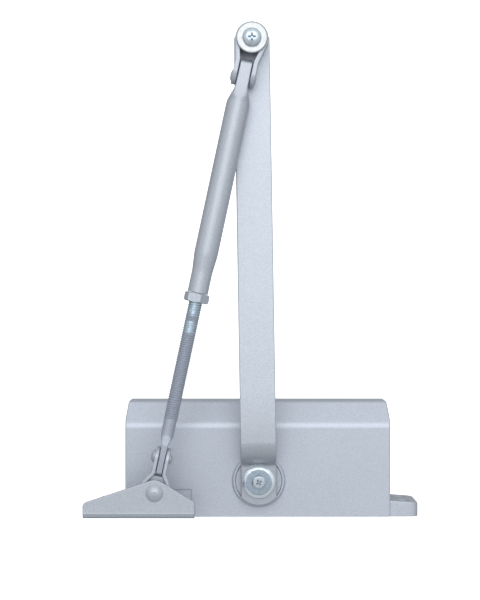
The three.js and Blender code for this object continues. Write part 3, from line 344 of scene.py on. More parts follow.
MATERIALS = {
    "silver_paint": silver_paint("silver_paint", BODY_TONE),
    "arm_paint": silver_paint("arm_paint", ARM_TONE),
    "bright_zinc": bright_zinc("bright_zinc", (0.60, 0.68, 0.75), 0.24, 0.6),
    "dark_steel": machined("dark_steel", (0.36, 0.38, 0.41), 0.32),
    "spring_steel": machined("spring_steel", (0.14, 0.15, 0.17), 0.4),
    "brass": machined("brass", (0.72, 0.55, 0.26), 0.28),
    "rubber": moulded("rubber", (0.022, 0.022, 0.024), 0.75, 1500.0, 0.00005),
    "grey_plastic": moulded("grey_plastic", (0.36, 0.38, 0.41), 0.5, 2200.0, 0.00003),
}
WASHER_FLAT = extent("arm_washer", PINION)[0] - 1.75
# Painted highlight: the washer's bevelled rim is coloured lighter than its face.
WASHER_ZINC = ringed_zinc("washer_zinc", (0.44, 0.53, 0.62), (0.78, 0.85, 0.91), PINION, WASHER_FLAT)
KNEE_ZINC = bright_zinc("knee_zinc", (0.52, 0.545, 0.56), 0.3, 0.15)
# Painted shade: the main arm's paint is darker near the pinion, standing in for the shade the joggle casts
# on the hub.
HUB_SHADED_PAINT = silver_paint("hub_paint_shaded", ARM_TONE, painted_shade=(PINION, 0.74, 10.0, 50.0))
# Painted shade: the forearm's and the shoe's pieces get darker copies of the arm's paint, toning down the
# light that falls on them.
FOREARM_SHADED_PAINT = silver_paint("forearm_paint_shaded", scaled(ARM_TONE, 0.88))
SHOE_SHADED_PAINT = silver_paint("shoe_paint_shaded", scaled(ARM_TONE, 0.84))
ROD_FINISH = rod_finish("rod_finish", srgb(166, 173, 186), (0.62, 0.72, 0.80), ROD_BANDS)

# ---- Outlines ----


def arc(centre, radius, start, end, steps):
    """Points on an arc, by angles in degrees."""
    angles = [math.radians(start + (end - start) * i / steps) for i in range(steps + 1)]
    return [(centre[0] + radius * math.cos(a), centre[1] + radius * math.sin(a)) for a in angles]


def rounded(points, steps=5):
    """A closed outline from (x, y) and (x, y, radius) points, with a round at each that has a radius."""
    outline = []
    for i, point in enumerate(points):
        here = Vector(point[:2])
        if len(point) < 3 or point[2] <= 0:
            outline.append(tuple(here))
            continue
        back = (Vector(points[i - 1][:2]) - here).normalized()
        onward = (Vector(points[(i + 1) % len(points)][:2]) - here).normalized()
        half = back.angle(onward) / 2
        middle = here + (back + onward).normalized() * (point[2] / math.sin(half))
        first = here + back * (point[2] / math.tan(half)) - middle
        last = here + onward * (point[2] / math.tan(half)) - middle
        start = math.degrees(math.atan2(first.y, first.x))
        turn = (math.degrees(math.atan2(last.y, last.x)) - start + 180) % 360 - 180
        outline += arc(middle, point[2], start, start + turn, steps)
    return outline


def line_of(points, steps=5):
    """As rounded(), for a line whose two ends stay as they are."""
    return rounded([points[0][:2], *points[1:-1], points[-1][:2]], steps)


def box_outline(x0, x1, y0, y1, radius=0.0, steps=5):
    return rounded([(x0, y0, radius), (x1, y0, radius), (x1, y1, radius), (x0, y1, radius)], steps)


def hexagon(flats, turn=0.0):
    return arc((0, 0), flats / math.sqrt(3), turn, turn + 360, 6)[:-1]


def circle(radius, sides=64):
    return arc((0, 0), radius, 0, 360, sides)[:-1]


def turn_angles(count):
    return [2 * math.pi * i / count for i in range(count)]


# ---- Solids ----


def join_rings(solid, first, second):
    for i in range(max(len(first), len(second))):
        corners = [first[i % len(first)], first[(i + 1) % len(first)]]
        corners += [second[(i + 1) % len(second)], second[i % len(second)]]
        solid.faces.new(list(dict.fromkeys(corners)))


def loft(sections, closed=False):
    """A solid through rings of points. A section of one point closes an end, and so does an open ring."""
    solid = bmesh.new()
    rings = [[solid.verts.new(point) for point in section] for section in sections]
    for first, second in zip(rings, rings[1:] + rings[:1] if closed else rings[1:]):
        join_rings(solid, first, second)
    if not closed:
        for ring in (rings[0], rings[-1]):
            if len(ring) > 2:
                solid.faces.new(ring)
    bmesh.ops.recalc_face_normals(solid, faces=solid.faces)
    return solid


def prism(outline, start, end, edge=0.0, segments=2):
    """A prism of an outline along +Z, with its end edges rounded."""
    solid = loft([[(x, y, z) for x, y in outline] for z in (start, end)])
    if edge > 0:
        rims = [e for e in solid.edges if abs(e.verts[0].co.z - e.verts[1].co.z) < 1e-6]
        bmesh.ops.bevel(solid, geom=rims, offset=edge, segments=segments, profile=0.5, affect="EDGES")
    return solid


def turned(profile, sides=96, closed=False, steps=5):
    """A turned solid about +Z from (radius, height) or (radius, height, round) points up its outside."""
    points = rounded(profile, steps) if closed else line_of(profile, steps)
    sections = []
    for radius, height in points:
        ring = [(x, y, height) for x, y in circle(radius, sides)]
        sections.append(ring if radius > 1e-6 else [(0, 0, height)])
    return loft(sections, closed)


def linked(name, data, place=(0, 0, 0)):
    result = bpy.data.objects.new(name, data)
    result.location = place
    bpy.context.scene.collection.objects.link(result)
    return result


def make(name, solid, place=BODY, sharp=32):
    """An object from a solid in millimetres, moved to its place, with smooth faces and sharp creases."""
    solid.transform(place)
    bmesh.ops.recalc_face_normals(solid, faces=solid.faces)
    if solid.calc_volume(signed=True) < 0:
        bmesh.ops.reverse_faces(solid, faces=solid.faces)
    solid.transform(Matrix.Scale(MM, 4))
    mesh = bpy.data.meshes.new(name)
    solid.to_mesh(mesh)
    solid.free()
    crease(mesh, sharp)
    return linked(name, mesh)


def crease(mesh, sharp):
    mesh.polygons.foreach_set("use_smooth", [True] * len(mesh.polygons))
    mesh.set_sharp_from_angle(angle=math.radians(sharp))
    mesh.update()


def combine(target, operation, tools, sharp=32):
    """Joins the target with the tools, or cuts or trims it by them, and removes them."""
    for tool in tools:
        modifier = target.modifiers.new("combine", "BOOLEAN")
        modifier.operation = operation
        modifier.solver = "EXACT"
        modifier.object = tool
    graph = bpy.context.evaluated_depsgraph_get()
    result = bpy.data.meshes.new_from_object(target.evaluated_get(graph))
    target.modifiers.clear()
    target.data = result
    for tool in tools:
        bpy.data.objects.remove(tool)
    crease(result, sharp)
    return target


def cut(target, *tools):
    return combine(target, "DIFFERENCE", tools)


def join(target, *tools):
    return combine(target, "UNION", tools)


def rod_tool(radius, start, end, place=BODY, sides=48):
    return make("tool", prism(circle(radius, sides), start, end), place)


def bar_tool(outline, start, end, place=BODY):
    return make("tool", prism(outline, start, end), place)


def dress(target, body, slot, node, material=None):
    """Gives a piece its finish and its body, and hides the CAD node that it stands for."""
    target.data.materials.clear()
    target.data.materials.append(material or MATERIALS[slot])
    weighted = target.modifiers.new("weighted_normals", "WEIGHTED_NORMAL")
    weighted.keep_sharp = True
    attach(target, body)
    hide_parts(node)
    return target


def piece(node, solid, place, body, slot, material=None, sharp=32):
    """A dressed piece, from a solid that needs no cutting."""
    return dress(make(f"{node}_piece", solid, place, sharp), body, slot, node, material)


class Route:
    """A line of straight stretches and arcs in a plane, which a flat plate is bent along."""

    def __init__(self, start, heading, stretches):
        self.parts = []
        place = Vector(start)
        angle = math.radians(heading)
        self.length = 0.0
        for size, *turn in stretches:
            sweep = math.radians(turn[0]) if turn else 0.0
            length = size * abs(sweep) if turn else size
            part = (self.length, length, place, angle, size, sweep)
            self.parts.append(part)
            place, angle = self.along(part, length)
            self.length += length

    @staticmethod
    def along(part, distance):
        _, length, place, angle, size, sweep = part
        if not sweep:
            return place + Vector((math.cos(angle), math.sin(angle))) * distance, angle
        left = Vector((-math.sin(angle), math.cos(angle))) * math.copysign(size, sweep)
        turn = sweep * distance / length
        return place + left - Matrix.Rotation(turn, 2) @ left, angle + turn

    def at(self, distance):
        """(the point, the unit normal on its left) at a distance from the start."""
        part = next((p for p in reversed(self.parts) if distance >= p[0]), self.parts[0])
        point, angle = self.along(part, distance - part[0])
        return point, Vector((-math.sin(angle), math.cos(angle)))

    def stations(self, step):
        """The distances at which a plate is divided so that it can follow the arcs."""
        found = set()
        for start, length, _, _, _, sweep in self.parts:
            count = max(2, math.ceil(math.degrees(abs(sweep)) / step)) if sweep else 0
            found |= {round(start + length * i / count, 5) for i in range(count + 1) if count}
        return sorted(x for x in found if 1e-3 < x < self.length - 1e-3)


def plate(outline, holes, thickness, edge):
    """A flat plate in (x, y) about height 0, with round holes at (x, y, radius) and rounded edges."""
    half = thickness / 2
    blank = make("plate", prism(outline, -half, half))
    if holes:
        cut(blank, *[rod_tool(radius, -half - 1, half + 1, shift(x, y, 0), 40) for x, y, radius in holes])
    solid = bmesh.new()
    solid.from_mesh(blank.data)
    bpy.data.objects.remove(blank)
    solid.transform(Matrix.Scale(1 / MM, 4))
    bmesh.ops.remove_doubles(solid, verts=solid.verts, dist=1e-4)
    flat = [e for e in solid.edges if abs(e.verts[0].co.z - e.verts[1].co.z) < 1e-3]
    rims = [e for e in flat if len(e.link_faces) == 2 and e.calc_face_angle(0) > 1]
    bmesh.ops.bevel(solid, geom=rims, offset=edge, segments=3, profile=0.5, affect="EDGES")
    return solid


def slice_at(solid, x):
    """Divides a solid's faces at x, so that they can follow a bend there."""
    parts = [*solid.verts, *solid.edges, *solid.faces]
    bmesh.ops.bisect_plane(solid, geom=parts, dist=1e-5, plane_co=(x, 0, 0), plane_no=(1, 0, 0))


def bend(solid, route, step=6):
    """Bends a plate drawn in (distance, width) along a route: its width becomes +Z."""
    for place in route.stations(step):
        slice_at(solid, place)
    for vertex in solid.verts:
        point, normal = route.at(vertex.co.x)
        moved = point + normal * vertex.co.z
        vertex.co = (moved.x, moved.y, vertex.co.y)
    return solid


# ---- Body ----

BODY_LEFT = low("left_end_plug").x + 0.3
BODY_RIGHT = high("right_end_plug").x - 0.3
BODY_DEPTH = high("closer_body").y
BODY_HALF = high("closer_body").z
BORE_Y = (low("left_end_plug").y + high("left_end_plug").y) / 2
BORE_RADIUS = (high("left_end_plug").y - low("left_end_plug").y) / 2 + 0.3
SHOULDER_Y = 50.4
NOSE_HALF = 12.55
RIDGE_ROUND = 8.0
NOSE_ROUND = 3.0
END_TAPER = 1.6
END_ROUND = 0.9
EAR_REACH = high("closer_body").x - BODY_RIGHT
EAR_HALF = 19.0
EAR_LIFT = 0.03
EAR_ROOT = 8.8
EAR_TIP = 7.7
EAR_CORNER = 4.0
EAR_HOLE_OUT = 8.0
EAR_HOLE_Z = 9.5
EAR_HOLE_RADIUS = 2.75
EAR_HOLE_SINK = 7.4
PANEL = (-62.0, -36.5, 5.2, 15.2)
PANEL_DEPTH = 1.0
PANEL_LINE = 0.7
BODY_ENDS = {-1: BODY_LEFT, 1: BODY_RIGHT}


def body_bar():
    """The bar of one section, with rounded ridges, whose ends draw in towards the front edge."""
    section = rounded([
        (0, -BODY_HALF),
        (SHOULDER_Y, -BODY_HALF, RIDGE_ROUND),
        (BODY_DEPTH, -NOSE_HALF, NOSE_ROUND),
        (BODY_DEPTH, NOSE_HALF, NOSE_ROUND),
        (SHOULDER_Y, BODY_HALF, RIDGE_ROUND),
        (0, BODY_HALF),
    ], 8)
    bar = prism(section, BODY_LEFT, BODY_RIGHT, END_ROUND, 4)
    middle = (BODY_LEFT + BODY_RIGHT) / 2
    draw_start = SHOULDER_Y + 3
    slice_at(bar, draw_start)
    for vertex in bar.verts:
        share = max(0.0, (vertex.co.x - draw_start) / (BODY_DEPTH - draw_start))
        vertex.co.z -= math.copysign(END_TAPER * share, vertex.co.z - middle)
    return make("closer_body_piece", bar, TO_X)


def ear(side):
    """One ear of the mounting plate: rounded outer corners, and thinner towards its tip."""
    root = BODY_ENDS[side]
    inside = root - side * 6
    tip = root + side * EAR_REACH
    half = EAR_HALF
    corners = [(-half, inside), (-half, tip, EAR_CORNER), (half, tip, EAR_CORNER), (half, inside)]
    slab = prism(rounded(corners, 8), EAR_LIFT, EAR_ROOT, 0.5, 3)
    for vertex in slab.verts:
        out = side * (vertex.co.y - root) / EAR_REACH
        if vertex.co.z > EAR_ROOT / 2:
            vertex.co.z -= out * (EAR_ROOT - EAR_TIP)
    return make("tool", slab, TO_Y)


def ear_holes(side):
    """The screw holes of an ear, with a small countersink."""
    x = BODY_ENDS[side] + side * EAR_HOLE_OUT
    radius = EAR_HOLE_RADIUS
    sink = EAR_HOLE_SINK
    profile = [(0, -1), (radius, -1), (radius, sink), (radius + 2.5, sink + 2.5), (0, sink + 2.5)]
    return [make("tool", turned(profile, 48), shift(x, 0, z) @ TO_Y) for z in (-EAR_HOLE_Z, EAR_HOLE_Z)]


CHAMBER_RADIUS = 9.2
CHAMBER_HALF = 13.6
BEARING_BORE = 12.0
VALVE_RADIUS = 2.8
VALVE_DEPTH = 16.0
VALVE_LENGTH = 14.0
SLOT_HALF = 0.4
PLUG_LENGTH = 10.0
PLUG_SOCKET = 8.0
VALVES = {"sweep_valve": 1, "latch_valve": 1, "backcheck_valve": -1}


def end_frame(side, length, y, z):
    """A frame at a length inside one of the body's ends, whose +Z points out of that end."""
    turn = Matrix.Rotation(0 if side > 0 else math.pi, 4, "Z")
    return shift(BODY_ENDS[side] - side * length, y, z) @ turn @ TO_X


def valve_frame(name, length):
    middle = (low(name) + high(name)) / 2
    return end_frame(VALVES[name], length, middle.y, middle.z)


def valve_hole(name):
    return rod_tool(VALVE_RADIUS + 0.3, -VALVE_DEPTH, 0.5, valve_frame(name, 0), 32)


def body_casting():
    """The casting with its ears, its bores and holes, and a panel outlined by a groove."""
    body = join(body_bar(), ear(-1), ear(1))
    pinion_bores = [
        rod_tool(CHAMBER_RADIUS, -CHAMBER_HALF, CHAMBER_HALF, PINION_AXIS),
        rod_tool(BEARING_BORE, CHAMBER_HALF - 0.1, BODY_HALF + 1, PINION_AXIS, 64),
        rod_tool(BEARING_BORE, -BODY_HALF - 1, 0.1 - CHAMBER_HALF, PINION_AXIS, 64),
    ]
    bore = rod_tool(BORE_RADIUS, BODY_LEFT - 1, BODY_RIGHT + 1, shift(0, BORE_Y, 0) @ TO_X, 96)
    x0, x1, y0, y1 = PANEL
    middle = box_outline(x0 + PANEL_LINE, x1 - PANEL_LINE, y0 + PANEL_LINE, y1 - PANEL_LINE, 0.5)
    panel = bar_tool(box_outline(*PANEL, 0.8), BODY_HALF - PANEL_DEPTH, BODY_HALF + 1)
    cut(panel, bar_tool(middle, BODY_HALF - PANEL_DEPTH - 1, BODY_HALF + 2))
    holes = [*ear_holes(-1), *ear_holes(1), *[valve_hole(name) for name in VALVES]]
    cut(body, bore, *pinion_bores, panel, *holes)
    dress(body, "housing", "silver_paint", "closer_body")


def end_plugs():
    """The plugs that close the bore: a shallow boss with a hexagon socket."""
    length = PLUG_LENGTH
    radius = BORE_RADIUS - 0.3
    for name, side in (("left", -1), ("right", 1)):
        profile = [
            (0, 0), (radius, 0), (radius, 2.6), (radius - 2.4, 2.6), (radius - 2.4, 5.4), (radius, 5.4),
            (radius, length, 0.5), (10.4, length, 0.2), (9.9, length - 0.5, 0.2), (9.3, length - 0.5, 0.2),
            (9.0, length + 0.3, 0.25), (5.4, length + 0.3, 0.1), (4.9, length - 0.2), (0, length - 0.2),
        ]
        place = end_frame(side, length, BORE_Y, 0)
        plug = make(f"{name}_end_plug_piece", turned(profile), place)
        cut(plug, bar_tool(hexagon(PLUG_SOCKET), length - 5, length + 2, place))
        dress(plug, "housing", "silver_paint", f"{name}_end_plug")


def regulating_valves():
    """Slotted needle valves in the body's ends."""
    neck = VALVE_RADIUS - 1
    length = VALVE_LENGTH
    profile = [
        (0, 0), (1.1, 3), (VALVE_RADIUS, 3.6), (VALVE_RADIUS, 6.4), (neck, 6.4), (neck, 8.2),
        (VALVE_RADIUS, 8.2), (VALVE_RADIUS, length - 0.1, 0.4), (0, length - 0.1),
    ]
    slot = box_outline(-VALVE_RADIUS - 1, VALVE_RADIUS + 1, -SLOT_HALF, SLOT_HALF)
    for name in VALVES:
        place = valve_frame(name, length)
        valve = make(f"{name}_piece", turned(profile, 48), place)
        cut(valve, bar_tool(slot, length - 1.3, length + 1, place))
        dress(valve, name, "brass", name)


# ---- Collars round the pinion ----

JOURNAL = 7.3


def retainers():
    """The threaded collar over each bearing: a chamfered rim round a shallow dish."""
    seat = BODY_HALF + 0.05
    rim, _, top = extent("upper_retainer", PINION)
    profile = [
        (JOURNAL, seat), (rim, seat), (rim, top - 1.2, 0.15), (rim - 0.95, top, 0.15),
        (rim - 1.75, top, 0.15), (rim - 2.1, top - 0.8, 0.15), (JOURNAL, top - 0.8),
    ]
    for level, turn in (("upper", 0), ("lower", math.pi)):
        place = PINION_AXIS @ Matrix.Rotation(turn, 4, "X")
        solid = turned(profile, 128, closed=True)
        piece(f"{level}_retainer", solid, place, "housing", "silver_paint", sharp=20)


def spindle_cap():
    """The push-on cap over the pinion's lower end, with a dished face."""
    radius, bottom, top = extent("spindle_cap", PINION)
    profile = [
        (0, bottom + 0.6), (radius - 3.4, bottom + 0.6, 0.3), (radius - 2.8, bottom, 0.3),
        (radius, bottom, 0.9), (radius, top), (radius - 1.5, top), (radius - 1.5, bottom + 1.5),
        (0, bottom + 1.5),
    ]
    piece("spindle_cap", turned(profile), PINION_AXIS, "housing", "grey_plastic")


# ---- Main arm ----

ARM_WIDTH = 19.3
ARM_THICKNESS = 5.0
HUB_BOTTOM = low("main_arm").z
ARM_TOP = high("main_arm").z
HUB_TOP = HUB_BOTTOM + ARM_THICKNESS
HUB_END = 13.0
JOGGLE_START = 7.9
JOGGLE_ANGLE = 58.0
JOGGLE_LOWER = 4.5
JOGGLE_UPPER = 9.0
SPOT_FACE = 9.7
ARM_END_RADIUS = 11.8
ARM_PAST_KNEE = 6.9
SHAFT_SQUARE = 9.6
STUD_HOLE = 4.3


def arm_route():
    angle = math.radians(JOGGLE_ANGLE)
    rise = ARM_TOP - ARM_THICKNESS - HUB_BOTTOM
    slope = (rise - (JOGGLE_LOWER + JOGGLE_UPPER) * (1 - math.cos(angle))) / math.sin(angle)
    flat_end = JOGGLE_START + (JOGGLE_LOWER + JOGGLE_UPPER) * math.sin(angle) + slope * math.cos(angle)
    bar = ARM_LENGTH + ARM_PAST_KNEE - flat_end
    joggle = [(JOGGLE_LOWER, JOGGLE_ANGLE), (slope,), (JOGGLE_UPPER, -JOGGLE_ANGLE)]
    start = (-HUB_END, HUB_BOTTOM + ARM_THICKNESS / 2)
    return Route(start, 0, [(HUB_END + JOGGLE_START,), *joggle, (bar,)])


def main_arm():
    """The bar, cut from strip and joggled, with a machined face for the washer on its hub."""
    route = arm_route()
    half = ARM_WIDTH / 2
    hub_angle = math.degrees(math.asin(half / HUB_END))
    end_angle = math.degrees(math.asin(half / ARM_END_RADIUS))
    outline = arc((HUB_END, 0), HUB_END, 180 - hub_angle, 180 + hub_angle, 20)
    outline += arc((route.length - ARM_END_RADIUS, 0), ARM_END_RADIUS, -end_angle, end_angle, 20)
    stud_hole = (route.length - ARM_PAST_KNEE, 0, STUD_HOLE)
    bar = bend(plate(outline, [stud_hole], ARM_THICKNESS, 0.7), route, 4)
    arm = make("main_arm_piece", bar, ARM @ UPRIGHT)
    side = SHAFT_SQUARE / 2 + 0.3
    drive = bar_tool(box_outline(-side, side, -side, side), HUB_BOTTOM - 1, HUB_TOP + 1, PINION_AXIS)
    cut(arm, rod_tool(SPOT_FACE, HUB_TOP, ARM_TOP + 2, ARM, 96), drive)
    dress(arm, "main_arm", "arm_paint", "main_arm", HUB_SHADED_PAINT)


def cross_recess(reach, width, top, depth, place):
    """A cutter for a cross-shaped driver recess, which narrows as it goes down."""
    half = width / 2
    quarter = [(reach, -half), (reach, half), (half * 1.25, half * 1.25)]
    outline = []
    for cos, sin in ((1, 0), (0, 1), (-1, 0), (0, -1)):
        outline += [(x * cos - y * sin, x * sin + y * cos) for x, y in quarter]
    levels = [(top + 0.5, 1.05), (top - depth * 0.6, 0.72), (top - depth, 0.3)]
    sections = [[(x * share, y * share, z) for x, y in outline] for z, share in levels]
    return make("tool", loft(sections), place)


def domed_head(radius, bottom, rim, top, steps=10):
    """Profile points of a screw head's rim and domed top, from its edge to its middle."""
    angles = [math.pi / 2 * i / steps for i in range(steps + 1)]
    dome = [(radius * math.cos(a), rim + (top - rim) * math.sin(a)) for a in angles]
    return [(radius, bottom), *dome]


def arm_screw_and_washer():
    """The screw into the pinion and its bevelled washer."""
    radius, _, top = extent("arm_washer", PINION)
    profile = [
        (2.6, HUB_TOP + 0.1), (radius, HUB_TOP + 0.1, 0.2), (radius, top - 1.0, 0.6),
        (WASHER_FLAT, top, 2.4), (2.6, top),
    ]
    washer = turned(profile, 128, closed=True)
    piece("arm_washer", washer, ARM, "main_arm", "bright_zinc", WASHER_ZINC, 40)
    head, shank, head_top = extent("arm_screw", PINION)
    seat = top + 0.05
    screw_profile = [
        (0, shank), (2.2, shank), (2.2, seat), (head, seat, 0.2), (head, seat + 0.8, 0.4),
        (head - 1.0, head_top, 0.4), (0, head_top),
    ]
    screw = make("arm_screw_piece", turned(screw_profile, 64), ARM, 40)
    turn = Matrix.Rotation(0.5, 4, "Z")
    cut(screw, cross_recess(1.75, 0.85, head_top, 1.5, ARM @ turn))
    dress(screw, "main_arm", "bright_zinc", "arm_screw")


# ---- Knee ----

KNEE_AXIS = level_frame(KNEE, Vector((1, 0)))
STUD_RADIUS = 4.0
SCREW_HOLE = 2.5
STUD_TOP = high("knee_stud").z
STRAP_LOOP = 8.9
STRAP = 2.55
STRAP_EAR = 6.2
STRAP_EAR_START = 12.0
STRAP_EAR_TIP = 25.4
KNEE_RIVET_HOLE = 2.9


def knee_fastener():
    """The stud through the arm's end, with a thick washer and a pan-head screw in its top."""
    head_bottom = low("knee_stud").z
    under = ARM_TOP - ARM_THICKNESS
    profile = [
        (0, head_bottom + 0.2), (6.0, head_bottom, 0.3), (6.5, head_bottom + 0.6, 0.3),
        (6.5, under - 0.1, 0.2), (STUD_RADIUS, under - 0.1), (STUD_RADIUS, STUD_TOP),
        (SCREW_HOLE, STUD_TOP), (SCREW_HOLE, STUD_TOP - 10), (0, STUD_TOP - 10),
    ]
    piece("knee_stud", turned(profile, 64), KNEE_AXIS, "main_arm", "bright_zinc")
    radius, _, top = extent("knee_washer", KNEE)
    seat = STUD_TOP + 0.1
    section = [(SCREW_HOLE, seat), (radius, seat, 0.35), (radius, top, 0.75), (SCREW_HOLE, top)]
    washer = turned(section, 128, closed=True)
    piece("knee_washer", washer, KNEE_AXIS, "main_arm", "bright_zinc", KNEE_ZINC, 50)
    head, shank, head_top = extent("knee_screw", KNEE)
    seat = top + 0.05
    pan = [(0, shank), (2.1, shank), (2.1, seat), *domed_head(head, seat, seat + 1.1, head_top)]
    screw = make("knee_screw_piece", turned(pan, 96), KNEE_AXIS, 40)
    cut(screw, cross_recess(2.35, 1.0, head_top, 2.1, KNEE_AXIS))
    dress(screw, "main_arm", "bright_zinc", "knee_screw")


def strap_route(loop_radius, thickness, ear_outer, ear_start, ear_tip, ease):
    """The middle line of a strap: along one ear, round the loop and back along the other ear."""
    loop = loop_radius - thickness / 2
    ear_line = ear_outer - thickness / 2
    reach = math.hypot(ear_start, ear_line)
    touch = math.degrees(math.atan2(ear_line, ear_start) + math.acos(loop / reach))
    flare = 90 - touch
    tuck = ease * math.tan(math.radians(flare) / 2)
    leg = (ear_tip - ear_start - tuck,)
    slope = (math.sqrt(reach**2 - loop**2) - tuck,)
    elbow = (ease, -flare)
    return Route((ear_tip, ear_line), 180, [leg, elbow, slope, (loop, 360 - 2 * touch), slope, elbow, leg])


def riveted_yoke(end, route, strap, ear, rivet_in, hole, place, turn, rivet_sizes, paint):
    """A yoke bent from strap whose ends are half circles, and the rivet through its ears."""
    name = f"{end}_yoke"
    half = (high(name).z - low(name).z) / 2
    outline = arc((half, 0), half, 90, 270, 24) + arc((route.length - half, 0), half, -90, 90, 24)
    holes = [(rivet_in, 0, hole), (route.length - rivet_in, 0, hole)]
    bent = bend(plate(outline, holes, strap, 0.5), route)
    middle = shift(0, 0, (low(name).z + high(name).z) / 2)
    piece(name, bent, place @ middle, name, "arm_paint", paint)
    out = route.at(rivet_in)[0].x
    pin = rivet(ear + 0.05, **rivet_sizes)
    level = shift(out, 0, FOREARM_Z) @ Matrix.Rotation(turn, 4, "Z") @ TO_Y
    piece(f"{end}_rivet", pin, place @ level, name, "arm_paint", paint)


def rivet(seat, radius, head, rise, tail, tail_rise):
    """A rivet along +Z. Its first head, on the -Z side, is the larger one."""
    angles = [math.pi / 2 * i / 8 for i in range(9)]
    first = [(head * math.sin(a), -seat - rise * math.cos(a)) for a in angles]
    last = [(tail * math.cos(a), seat + tail_rise * math.sin(a)) for a in angles]
    under = seat - 0.02
    profile = [*first, (head, -under), (radius, -under), (radius, under), (tail, under), *last]
    return turned(profile, 64)


def bush(outer, inner, bottom, top):
    return turned(box_outline(inner, outer, bottom, top, 0.4), 96, closed=True)


def knee_joint():
    """The strap round the knee's stud, the liner inside it and the rivet through its ears."""
    route = strap_route(STRAP_LOOP, STRAP, STRAP_EAR, STRAP_EAR_START, STRAP_EAR_TIP, 3.0)
    rivet_in = STRAP_EAR_TIP - KNEE_RIVET_OUT
    sizes = {"radius": 2.6, "head": 3.1, "rise": 1.0, "tail": 2.7, "tail_rise": 0.5}
    fit = (STRAP, STRAP_EAR, rivet_in, KNEE_RIVET_HOLE, FOREARM, 0)
    riveted_yoke("knee", route, *fit, sizes, FOREARM_SHADED_PAINT)
    liner = bush(STRAP_LOOP - STRAP - 0.1, STUD_RADIUS + 0.2, ARM_TOP + 0.1, STUD_TOP - 0.1)
    piece("knee_bush", liner, FOREARM, "knee_yoke", "grey_plastic")


# ---- Forearm ----

TIP_SHARE = 0.92
TUBE_RADIUS = 6.35
TUBE_START = 11.5
TUBE_FLAT_HALF = 3.3
TUBE_FLAT_SQUARE = 14.0
TUBE_FLAT_HIGH = 6.6
TUBE_FLAT_END = 24.5
TUBE_FULL = 36.0
TUBE_FULL_END = 117.0
NECK_START = 126.6
NECK_RADIUS = 5.5
TUBE_END = 138.0
TUBE_BORE_START = 44.0
TUBE_BORE = 4.2
NUT_FLATS = 12.0
NUT_TURN = 11.0
NUT_THICKNESS = 5.0


def between(first, last, share):
    return first + (last - first) * share


def smooth(x, start, end):
    t = min(1.0, max(0.0, (x - start) / (end - start)))
    return t * t * (3 - 2 * t)


def oval(x, half_width, half_height, squareness=2.0, sides=64):
    """A ring of points at x: a circle or an oval with flatter sides the higher its squareness."""
    points = []
    for angle in turn_angles(sides):
        c, s = math.cos(angle), math.sin(angle)
        y = half_width * math.copysign(abs(c) ** (2 / squareness), c)
        z = half_height * math.copysign(abs(s) ** (2 / squareness), s)
        points.append((x, y, z))
    return points


def flat_end(tip, depth, half_width, half_height, least, squareness, sides=64):
    """The sections that round off a flattened end in side view, from its tip in."""
    steps = 8
    sections = [[(tip, 0, 0)]]
    for i in range(steps + 1):
        angle = math.pi / 2 * i / steps
        share = 1.0 if i else TIP_SHARE
        x = tip + depth * (1 - math.cos(angle))
        high_half = between(least, half_height, math.sin(angle)) * share
        sections.append(oval(x, half_width * share, high_half, squareness, sides))
    return sections


def forearm_tube():
    """The tube: pressed flat between the yoke's ears, round along its length and necked at its end."""
    sections = flat_end(TUBE_START, 2.6, TUBE_FLAT_HALF, TUBE_FLAT_HIGH, 3.4, TUBE_FLAT_SQUARE)
    steps = 22
    for i in range(steps + 1):
        x = TUBE_FLAT_END + (TUBE_FULL - TUBE_FLAT_END) * i / steps
        t = smooth(x, TUBE_FLAT_END, TUBE_FULL)
        half = between(TUBE_FLAT_HALF, TUBE_RADIUS, t)
        high_half = between(TUBE_FLAT_HIGH, TUBE_RADIUS, t)
        early = math.sqrt(smooth(x, TUBE_FLAT_END, TUBE_FULL - 2))
        sections.append(oval(x, half, high_half, between(TUBE_FLAT_SQUARE, 2.0, early)))
    outside = line_of([
        (TUBE_FULL + 1, TUBE_RADIUS), (TUBE_FULL_END, TUBE_RADIUS, 30), (NECK_START, NECK_RADIUS, 30),
        (TUBE_END, NECK_RADIUS, 0.3), (TUBE_END, TUBE_BORE + 0.4), (TUBE_END - 0.5, TUBE_BORE),
        (TUBE_BORE_START, TUBE_BORE),
    ], 6)
    sections += [oval(x, radius, radius) for x, radius in outside]
    sections.append([(TUBE_BORE_START, 0, 0)])
    place = FOREARM @ shift(0, 0, FOREARM_Z)
    tube = make("forearm_tube_piece", loft(sections), place, 35)
    cut(tube, rod_tool(KNEE_RIVET_HOLE, -8, 8, place @ shift(KNEE_RIVET_OUT, 0, 0) @ TO_Y, 40))
    dress(tube, "forearm", "arm_paint", "forearm_tube", FOREARM_SHADED_PAINT)


def lock_nut():
    """A hexagon nut with its corners turned off at both faces."""
    start = TUBE_END + 0.1
    end = start + NUT_THICKNESS
    reach = NUT_FLATS / math.sqrt(3) + 0.4
    place = FOREARM @ shift(0, 0, FOREARM_Z) @ TO_X
    corners = [(*corner, 0.35) for corner in hexagon(NUT_FLATS, NUT_TURN)]
    nut = make("lock_nut_piece", prism(rounded(corners, 3), start - 0.5, end + 0.5), place)
    cones = [
        (0, start), (NUT_FLATS / 2 - 0.15, start, 0.3), (reach, start + 1.15), (reach, end - 1.15),
        (NUT_FLATS / 2 - 0.15, end, 0.3), (0, end),
    ]
    combine(nut, "INTERSECT", [make("tool", turned(cones), place)])
    cut(nut, rod_tool(4.15, start - 1, end + 1, place))
    dress(nut, "lock_nut", "arm_paint", "lock_nut", FOREARM_SHADED_PAINT)


THREAD_CREST = 3.85
THREAD_ROOT = 3.4
THREAD_PITCH = 1.25
ROD_START = 78.0
THREAD_END = 206.8
SHANK_RADIUS = 3.4
SHANK_END = 217.2
ROD_FLAT_HALF = 1.7
ROD_FLAT_HIGH = 5.0
ROD_FLAT_SQUARE = 12.0
ROD_END = FOREARM_LENGTH - 9.4
SHOE_RIVET_HOLE = 2.2


